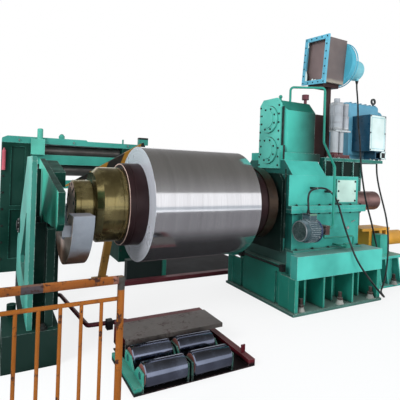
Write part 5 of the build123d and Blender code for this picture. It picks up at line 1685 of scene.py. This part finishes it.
@dataclass
class Blower(SubAssembly):
    """Cooling blower over the motor platform."""

    FINISHES = {
        "blower_duct": "duct", "blower_inlet_frame": "sky_frame", "fan_casing": "sky",
        "fan_motor": "sky_pale", "blower_post": "post_red",
    }
    frame_bolt: BoltSize = BoltSize(0.008, 0.006, 0.011, 0.002, 0.004, 0.002)
    middle: Point = (0.22, 0.055, 3.272)
    tilt: float = 5.0
    width: float = 0.4
    height: float = 0.62
    bolt_face: float = 0.19
    bolt_step: float = 0.002
    mat_inset: float = 0.018
    mat_face: float = 0.27
    mat_thickness: float = 0.008
    scrap_face: float = 0.196
    scrap_thickness: float = 0.002
    rim_places: Tuple[float, float] = (0.6, 0.7)
    motor_drop: float = 0.025
    fin_count: int = 36
    fin_circle: float = 0.1455
    fin_size: Point = (0.009, 0.005, 0.2)
    fin_middle: float = 0.905

    def at(self, across: float, up: float, x: float) -> Vector:
        """A point at a distance across and up from the middle of the tilted mouth, at a place along X."""
        c, s = math.cos(math.radians(self.tilt)), math.sin(math.radians(self.tilt))
        return Vector((x, self.middle[1] + across * c - up * s, self.middle[2] + across * s + up * c))

    def details(self) -> None:
        """Adds the frame's bolts, the filter mat, torn gasket and the fan's rims, fins and collar."""
        half_width, half_height = self.width / 2 + self.bolt_step, self.height / 2 + self.bolt_step
        places = [
            self.at(-self.width / 2 + self.width * i / 4, up, self.bolt_face)
            for i in range(5) for up in (-half_height, half_height)
        ]
        places += [
            self.at(across, -self.height / 2 + self.height * i / 6, self.bolt_face)
            for i in range(1, 6) for across in (-half_width, half_width)
        ]
        self.fasten("duct_frame_bolts", spots_at(places, TO_NOSE), self.frame_bolt, "bolt_dark", "blue_paint")
        self.mouth()
        rims = Shape()
        for x in self.rim_places:
            rims.ring((x, self.middle[1], self.middle[2]), TO_DRIVE, 0.315, 0.3275, 0.012, 64)
        self.piece(rims, "fan_rims", "sky", "blue_paint", 0.002)
        axis_y, axis_z = self.middle[1], self.middle[2] - self.motor_drop
        self.fins.place(
            "fan_motor_fins", "stand", (self.fin_middle, axis_y, axis_z), self.fin_count, self.fin_circle,
            self.fin_size, self.finishes.get("sky_pale"), "blue_paint",
        )
        collar = Shape().ring((0.736, axis_y, axis_z), TO_DRIVE, 0.12, 0.149, 0.03, 48)
        self.piece(collar, "fan_motor_collar", "black", "black_rubber")

    def mouth(self) -> None:
        """Adds the filter mat in the duct's mouth and the scraps of its torn gasket."""
        wide, tall = self.width / 2 - self.mat_inset, self.height / 2 - self.mat_inset
        corners = ((-wide, -tall), (wide, -tall), (wide, tall), (-wide, tall))
        mat = Shape().prism([self.at(a, u, self.mat_face) for a, u in corners], (self.mat_thickness, 0, 0))
        self.piece(mat, "filter_mat", "filter", "duct_brown")
        scraps = Shape()
        for outline in (
            ((wide, tall), (wide - 0.03, tall), (wide - 0.02, tall - 0.05), (wide - 0.035, tall - 0.08),
             (wide, tall - 0.1)),
            ((wide, -tall), (wide - 0.055, -tall), (wide - 0.05, -tall + 0.09), (wide - 0.03, -tall + 0.15),
             (wide, -tall + 0.17)),
            ((-0.05, -tall), (-0.04, -tall + 0.03), (-0.01, -tall + 0.012), (0.02, -tall + 0.04),
             (0.05, -tall + 0.01), (0.07, -tall)),
            ((-wide, -tall), (-wide + 0.03, -tall), (-wide + 0.01, -tall + 0.06), (-wide, -tall + 0.1)),
        ):
            scraps.prism([self.at(a, u, self.scrap_face) for a, u in outline], (self.scrap_thickness, 0, 0))
        self.piece(scraps, "torn_gasket", "mint_panel", "blue_paint")


@dataclass
class MandrelLine(SubAssembly):
    """Turning mandrel with its coil, drawn round and smooth."""

    FINISHES = {"back_flange": "flange_iron"}
    nose_bolt: BoltSize = BoltSize(0.016, 0.002, 0.02, 0.001, 0.008, 0.001)
    height: float = 1.253
    sides: int = 128
    drum_radius: float = 0.39
    sleeve_radius: float = 0.44
    coil_radius: float = 0.625
    nose_radius: float = 0.252
    neck_radius: float = 0.205
    journal_radius: float = 0.17
    tail_radius: float = 0.2
    bolt_circles: Tuple[Tuple[float, int, float], ...] = ((0.165, 8, 0.2), (0.215, 12, 0.1))

    def turned(self, name: str, profile: Sequence[Tuple[float, float]], finish: str, slot: str,
               stands_for: Sequence[str] = (), closed: bool = False) -> Piece:
        """Turns one piece round the mandrel's axis from pairs of place along X and radius."""
        shape = Shape().lathe((0, 0, self.height), TO_DRIVE, profile, self.sides, closed)
        return self.piece(shape, name, finish, slot, body="mandrel_line", stands_for=stands_for)

    def details(self) -> None:
        """Adds the turned pieces, the nose's plate and its bolts."""
        nose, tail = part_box("mandrel")[0].x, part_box("mandrel")[1].x
        drum_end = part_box("back_flange")[0].x
        drum, wide, thick = self.drum_radius, self.sleeve_radius, self.coil_radius
        left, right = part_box("coil")[0].x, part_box("coil")[1].x
        self.turned("coil_wraps", [
            (left + 0.002, wide), (left, wide + 0.002), (left, thick - 0.003), (left + 0.003, thick),
            (right - 0.003, thick), (right, thick - 0.003), (right, wide + 0.002), (right - 0.002, wide),
        ], "strip", "aluminium_strip", ("coil",), True)
        left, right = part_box("coil_sleeve")[0].x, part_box("coil_sleeve")[1].x
        self.turned("sleeve", [
            (left, drum), (left, wide - 0.006), (left + 0.006, wide), (left + 0.05, wide),
            (left + 0.054, wide - 0.004), (left + 0.062, wide - 0.004), (left + 0.066, wide),
            (right, wide), (right, drum),
        ], "maroon_iron", "rusty_steel", ("coil_sleeve",), True)
        rim = Shape().ring((left - 0.0015, 0, self.height), TO_DRIVE, 0.424, 0.4345, 0.004, 96)
        self.piece(rim, "sleeve_rim", "pink_iron", "rusty_steel", body="mandrel_line")
        end, neck, bearing = self.nose_radius, self.neck_radius, self.journal_radius
        steps = (
            (0, 0), (0, end - 0.012), (0.012, end), (0.05, end), (0.053, end - 0.004), (0.058, end - 0.004),
            (0.061, end), (0.172, end), (0.18, end - 0.008), (0.18, neck), (0.195, neck), (0.195, 0.335),
            (0.205, 0.345), (0.25, drum), (0.34, drum), (0.342, drum - 0.003), (0.35, drum - 0.003),
            (0.352, drum), (0.43, drum), (0.433, drum - 0.012), (0.445, drum - 0.012), (0.448, drum),
        )
        behind = [(drum_end, drum), (drum_end, bearing), (0.64, bearing), (0.64, 0)]
        self.turned("mandrel_body", [(nose + x, radius) for x, radius in steps] + behind, "brass",
                    "brass_tone", ("mandrel",))
        big = self.tail_radius
        self.turned("mandrel_tail", [
            (0.62, 0), (0.62, big - 0.005), (0.625, big), (0.905, big), (0.91, big - 0.005), (0.91, 0.145),
            (tail - 0.025, 0.145), (tail, 0.12), (tail, 0),
        ], "tail_iron", "rusty_steel")
        self.nose_face(nose - 0.001)

    def nose_face(self, face: float) -> None:
        """Adds the ring plate on the nose, with its bolts and cap.

        Args:
            face: Where the nose ends.
        """
        centre = (face, 0, self.height)
        plate = Shape().ring(centre, TO_DRIVE, 0.06, self.nose_radius - 0.014, 0.006, 96)
        self.piece(plate, "nose_plate", "pink_iron", "rusty_steel", 0.002, body="mandrel_line")
        spots = []
        for radius, count, start in self.bolt_circles:
            spots += circle_spots(centre, TO_NOSE, radius, count, start)
        self.fasten("nose_bolts", spots, self.nose_bolt, "oily", "rusty_steel", body="mandrel_line")
        profile = [(-0.01, 0), (-0.01, 0.058), (0.0005, 0.058), (0.001, 0.05), (0.001, 0)]
        cap = Shape().lathe(centre, TO_NOSE, profile, 48)
        self.piece(cap, "nose_cap", "pink_iron", "rusty_steel", body="mandrel_line")


@dataclass
class OutboardStand(SubAssembly):
    """Stand and swinging arm that carry the free end of the mandrel."""

    FINISHES = {
        "stand_base": "green_black", "stand_side_plate": "green_stand", "stand_columns": "green_black",
        "support_arm": "green_arm", "saddle": "saddle_grey",
    }
    foot_bolt: BoltSize = BoltSize(0.03, 0.022, 0.042, 0.005, 0.018, 0.02)
    pivot_bolt: BoltSize = BoltSize(0.009, 0.007, 0.011, 0.002, 0.005, 0.003)
    foot_places: Tuple[Point, ...] = ((-3.42, -0.66, 0.3), (-3.42, 1.21, 0.3))
    web_left: float = -3.5
    web_right: float = -3.345
    pivot_y: float = 0.75
    pivot_z: float = 0.95
    washer_thickness: float = 0.012
    washer_circle: float = 0.068

    def details(self) -> None:
        """Adds the foot bolts, the inner web with the stop post, and the pivot's washer and bolts."""
        self.fasten("stand_bolts", spots_at(self.foot_places, UP), self.foot_bolt, "bolt_dark",
                    "dark_green_paint")
        web = Shape()
        web.box((self.web_left, 0.0, 0.3), (self.web_right, 0.02, 1.08))
        web.box((self.web_left, 0.62, 1.06), (self.web_right, 0.66, 1.6))
        self.piece(web, "stand_web", "green_deep", "dark_green_paint", 0.002)
        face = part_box("stand_side_plate")[0].x
        washer = Shape().lathe((face, self.pivot_y, self.pivot_z), TO_NOSE, [
            (0, 0), (0, 0.085), (0.008, 0.085), (self.washer_thickness, 0.08), (self.washer_thickness, 0.055),
            (0.03, 0.052), (0.034, 0.046), (0.034, 0),
        ], 40)
        self.piece(washer, "pivot_washer", "oily", "dark_steel")
        centre = (face - self.washer_thickness, self.pivot_y, self.pivot_z)
        spots = circle_spots(centre, TO_NOSE, self.washer_circle, 6, 0.3)
        self.fasten("pivot_bolts", spots, self.pivot_bolt, "zinc", "dark_steel")


@dataclass
class CoilCradle(SubAssembly):
    """Low frame with the four coil rolls."""

    FINISHES = {"cradle_frame": "cradle_tones", "roll_bearers": "teal_bearer", "cover_plate": "cover_grey"}
    places: Tuple[str, ...] = ("back_left", "back_right", "front_left", "front_right")
    roll_radius: float = 0.092
    journal_radius: float = 0.028
    journal_length: float = 0.02
    face_inset: float = 0.0185

    def details(self) -> None:
        """Draws each roll round, with its red end discs and journals."""
        full, thin, step = self.roll_radius, self.journal_radius, self.journal_length
        for place in self.places:
            node = "cradle_roll_" + place
            body = "roll_" + place
            low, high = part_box(node)
            centre = (0, (low.y + high.y) / 2, (low.z + high.z) / 2)
            half = [(0, 0), (0, thin), (step, thin), (step, full - 0.012), (0.026, full - 0.004),
                    (0.04, full)]
            profile = [(low.x + x, radius) for x, radius in half]
            profile += [(high.x - x, radius) for x, radius in reversed(half)]
            roll = Shape().lathe(centre, TO_DRIVE, profile, 72)
            self.piece(roll, node + "_shell", "roll_steel", "bright_steel", body=body, stands_for=(node,))
            ends = Shape()
            for face in (low.x + self.face_inset, high.x - self.face_inset - 0.002):
                ends.ring((face, *centre[1:]), TO_DRIVE, 0.03, full - 0.014, 0.002, 48)
            self.piece(ends, node + "_ends", "end_red", "bright_steel", body=body)


@dataclass
class GuardRail(SubAssembly):
    """Painted pipe rail in front of the reel."""

    FINISHES = {"guard_rail": "rail_orange"}


@dataclass
class EntryFrame(SubAssembly):
    """Roll frame behind the reel, with its screw jack and the strip peeler."""

    FINISHES = {
        "entry_housings": "green_panel", "entry_top_beam": "teal_top", "entry_crossbeams": "teal_cross",
        "screw_jack": "teal_jack", "frame_top_fittings": "top_fitting", "strip_peeler": "hazard",
        "entry_roll_lower": "roll_grey", "entry_roll_upper": "roll_grey", "valve_block": "valve_tones",
    }
    housing_bolt: BoltSize = BoltSize(0.013, 0.01, 0.018, 0.003, 0.008, 0.004)
    tube_x: float = -3.7
    tube_y: float = 2.372
    clip_heights: Tuple[float, float] = (1.57, 1.79)
    bolt_columns: Tuple[float, ...] = (-3.7, -3.36, -1.86, -1.51)
    housing_face: float = 2.4
    ring_places: Tuple[float, ...] = (-3.5, -2.7, -1.8)
    ring_width: float = 0.012

    def details(self) -> None:
        """Adds the red grease tube with its clips, the housings' bolts and the lifting rings."""
        x, y = self.tube_x, self.tube_y
        tube = Shape().rod((x, y, 1.54), (x, y, 1.84), 0.026)
        tube.rod((x, y, 1.84), (x, y, 1.87), 0.014)
        for z in self.clip_heights:
            tube.box((x - 0.012, y - 0.002, z), (x + 0.012, y + 0.029, z + 0.02))
        self.piece(tube, "grease_tube", "tube_red", "red_brown_paint")
        spots = []
        for x in self.bolt_columns:
            spots += row_spots((x, self.housing_face, 0.2), (x, self.housing_face, 1.45), TO_RAIL, 6)
        self.fasten("housing_bolts", spots, self.housing_bolt, "bolt_dark", "dark_green_paint")
        rings = Shape()
        for x in self.ring_places:
            rings.ring((x - self.ring_width / 2, 2.383, 2.0), TO_DRIVE, 0.012, 0.019, self.ring_width, 24)
        self.piece(rings, "lifting_rings", "zinc", "green_paint")


@dataclass
class FloorWorks(SubAssembly):
    """Pipe, beam and plate that lie on the floor."""

    FINISHES = {"floor_pipe": "pipe_maroon", "floor_channel": "maroon", "floor_plate": "oily_plate"}


@dataclass(frozen=True)
class Lamp:
    """One soft square lamp."""

    name: str
    place: Point
    target: Point
    size: Tuple[float, float]
    power: float
    colour: Colour

    def hang(self) -> None:
        """Puts the lamp up, unseen by reflections."""
        data = bpy.data.lights.new(self.name, "AREA")
        data.shape = "RECTANGLE"
        data.size, data.size_y = self.size
        data.energy = self.power
        data.color = self.colour
        lamp = linked(self.name, data)
        lamp.location = self.place
        lamp.visible_glossy = False
        lamp.rotation_euler = (Vector(self.target) - Vector(self.place)).to_track_quat("-Z", "Y").to_euler()


@dataclass(frozen=True)
class Reflector:
    """A level sheet that only reflections see, as a dark roof or an oily floor would look."""

    name: str
    reach: float
    height: float
    near: Colour
    away: Colour
    near_edge: float
    away_edge: float


@dataclass(frozen=True)
class Studio:
    """Camera, lamps, world and floor."""

    eye: Point = (-3.796, -4.005, 1.670)
    heading: float = 28.2
    roll: float = 2.0
    lens: float = 34.2
    sensor: float = 36
    rise: float = -0.08
    farthest: float = 200
    sky: float = 0.64
    sky_colour: Colour = (0.86, 0.93, 1.0)
    floor_reach: float = 60.0
    floor_colour: Colour = (0.86, 0.86, 0.86)
    floor_near: float = 3.5
    floor_far: float = 9.0
    lamps: Tuple[Lamp, ...] = (
        Lamp("key", (1.2, -9.5, 4.6), (-0.6, 0, 1.2), (8, 4), 410, (1.0, 0.99, 0.97)),
        Lamp("side", (-9.0, -3.2, 5.2), (-2.4, 0, 1.3), (3, 3), 500, (0.95, 0.99, 1.0)),
        Lamp("top", (0.5, 1.0, 8.0), (0, 0, 1.0), (7, 7), 90, WHITE),
    )
    reflectors: Tuple[Reflector, ...] = (
        Reflector("roof_reflection", 10.0, 6.0, (0.115, 0.108, 0.095), (0.27, 0.265, 0.26), 0.5, 9.5),
        Reflector("floor_reflection", 7.0, 0.004, (0.015, 0.014, 0.015), (0.21, 0.205, 0.215), 0.5, 1.7),
    )

    def camera(self) -> None:
        """Puts the camera where the photograph was taken from."""
        data = bpy.data.cameras.new("camera")
        data.sensor_width = self.sensor
        data.lens = self.lens
        data.shift_y = self.rise
        data.clip_end = self.farthest
        camera = linked("camera", data)
        turn, lean = math.radians(self.heading), math.radians(self.roll)
        forward = Vector((math.sin(turn), math.cos(turn), 0))
        right = Vector((math.cos(turn), -math.sin(turn), 0))
        up = Vector(UP)
        matrix = camera.matrix_world.to_3x3()
        matrix.col[0] = right * math.cos(lean) + up * math.sin(lean)
        matrix.col[1] = up * math.cos(lean) - right * math.sin(lean)
        matrix.col[2] = -forward
        camera.matrix_world = matrix.to_4x4()
        camera.location = self.eye
        bpy.context.scene.camera = camera

    def world(self) -> None:
        """White backdrop and a dim, even sky for the light."""
        world = bpy.data.worlds.new("studio")
        bpy.context.scene.world = world
        world.use_nodes = True
        writer = NodeWriter(world.node_tree)
        rays = writer.node("ShaderNodeLightPath").outputs
        direct = writer.math("MAXIMUM", rays["Is Camera Ray"], rays["Is Glossy Ray"])
        seen = writer.math("MAXIMUM", direct, rays["Is Transmission Ray"])
        soft = writer.node("ShaderNodeBackground", None, {0: self.sky_colour, 1: self.sky}).outputs[0]
        white = writer.node("ShaderNodeBackground", None, {0: WHITE, 1: 1.0}).outputs[0]
        blend = writer.node("ShaderNodeMixShader", None, {0: seen, 1: soft, 2: white}).outputs[0]
        writer.node("ShaderNodeOutputWorld", None, {0: blend})

    def sheet(self, name: str, reach: float, height: float, shader: Shader) -> Piece:
        """Adds a level stage sheet.

        Args:
            name: Its name.
            reach: Half its side.
            height: Its height.
            shader: Its material.

        Returns:
            The object.
        """
        data = bpy.data.meshes.new(name)
        signs = ((-1, -1), (1, -1), (1, 1), (-1, 1))
        data.from_pydata([(x * reach, y * reach, height) for x, y in signs], [], [(0, 1, 2, 3)])
        data.materials.append(shader.material)
        sheet = linked(name, data)
        return sheet

    def floor(self) -> None:
        """Pale floor that fades into the white backdrop."""
        shader = Shader("floor")
        flat = shader.node("ShaderNodeEmission", None, {"Color": WHITE, "Strength": 1.0}).outputs[0]
        far = shader.node("ShaderNodeVectorMath", {"operation": "LENGTH"}, {0: shader.place})
        distance = Value(shader, far.outputs["Value"]).ramp(self.floor_near, self.floor_far)
        seen = Value(shader, shader.node("ShaderNodeLightPath").outputs["Is Camera Ray"])
        shader.set(Base_Color=self.floor_colour, Roughness=0.9, Specular_IOR_Level=0.1)
        layers = {0: (distance * 0.2 + 0.8) * seen, 1: shader.surface.outputs[0], 2: flat}
        shader.feed(shader.output.inputs[0], shader.node("ShaderNodeMixShader", None, layers).outputs[0])
        self.sheet("floor", self.floor_reach, 0.0, shader)

    def mirror(self, made: Reflector) -> None:
        """Adds one sheet that only reflections see.

        Args:
            made: Its sizes and colours, from under the mandrel to its edges.
        """
        shader = Shader(made.name)
        across = shader.along(Axis.Y).size().ramp(made.near_edge, made.away_edge)
        glow = {"Color": shader.mix(across, made.near, made.away), "Strength": 1.0}
        shader.feed(shader.output.inputs[0], shader.node("ShaderNodeEmission", None, glow).outputs[0])
        sheet = self.sheet(made.name, made.reach, made.height, shader)
        for ray in ("camera", "diffuse", "shadow", "transmission"):
            setattr(sheet, "visible_" + ray, False)

    def build(self) -> None:
        """Sets the whole studio up."""
        bpy.context.scene.view_settings.view_transform = "Standard"
        self.camera()
        self.world()
        self.floor()
        for made in self.reflectors:
            self.mirror(made)
        for lamp in self.lamps:
            lamp.hang()


def main() -> None:
    """Builds the studio and every sub-assembly."""
    logging.basicConfig(level=logging.INFO, format="%(name)s: %(message)s")
    Studio().build()
    tools = (Finishes(), BoltField(), FinRing())
    for maker in (
        Cables, DriveStand, LubePump, MotorDeck, Blower, MandrelLine, OutboardStand, CoilCradle, GuardRail,
        EntryFrame, FloorWorks,
    ):
        maker(*tools).build()
        log.info("%s done", maker.__name__)


if __name__ == "__main__":
    main()
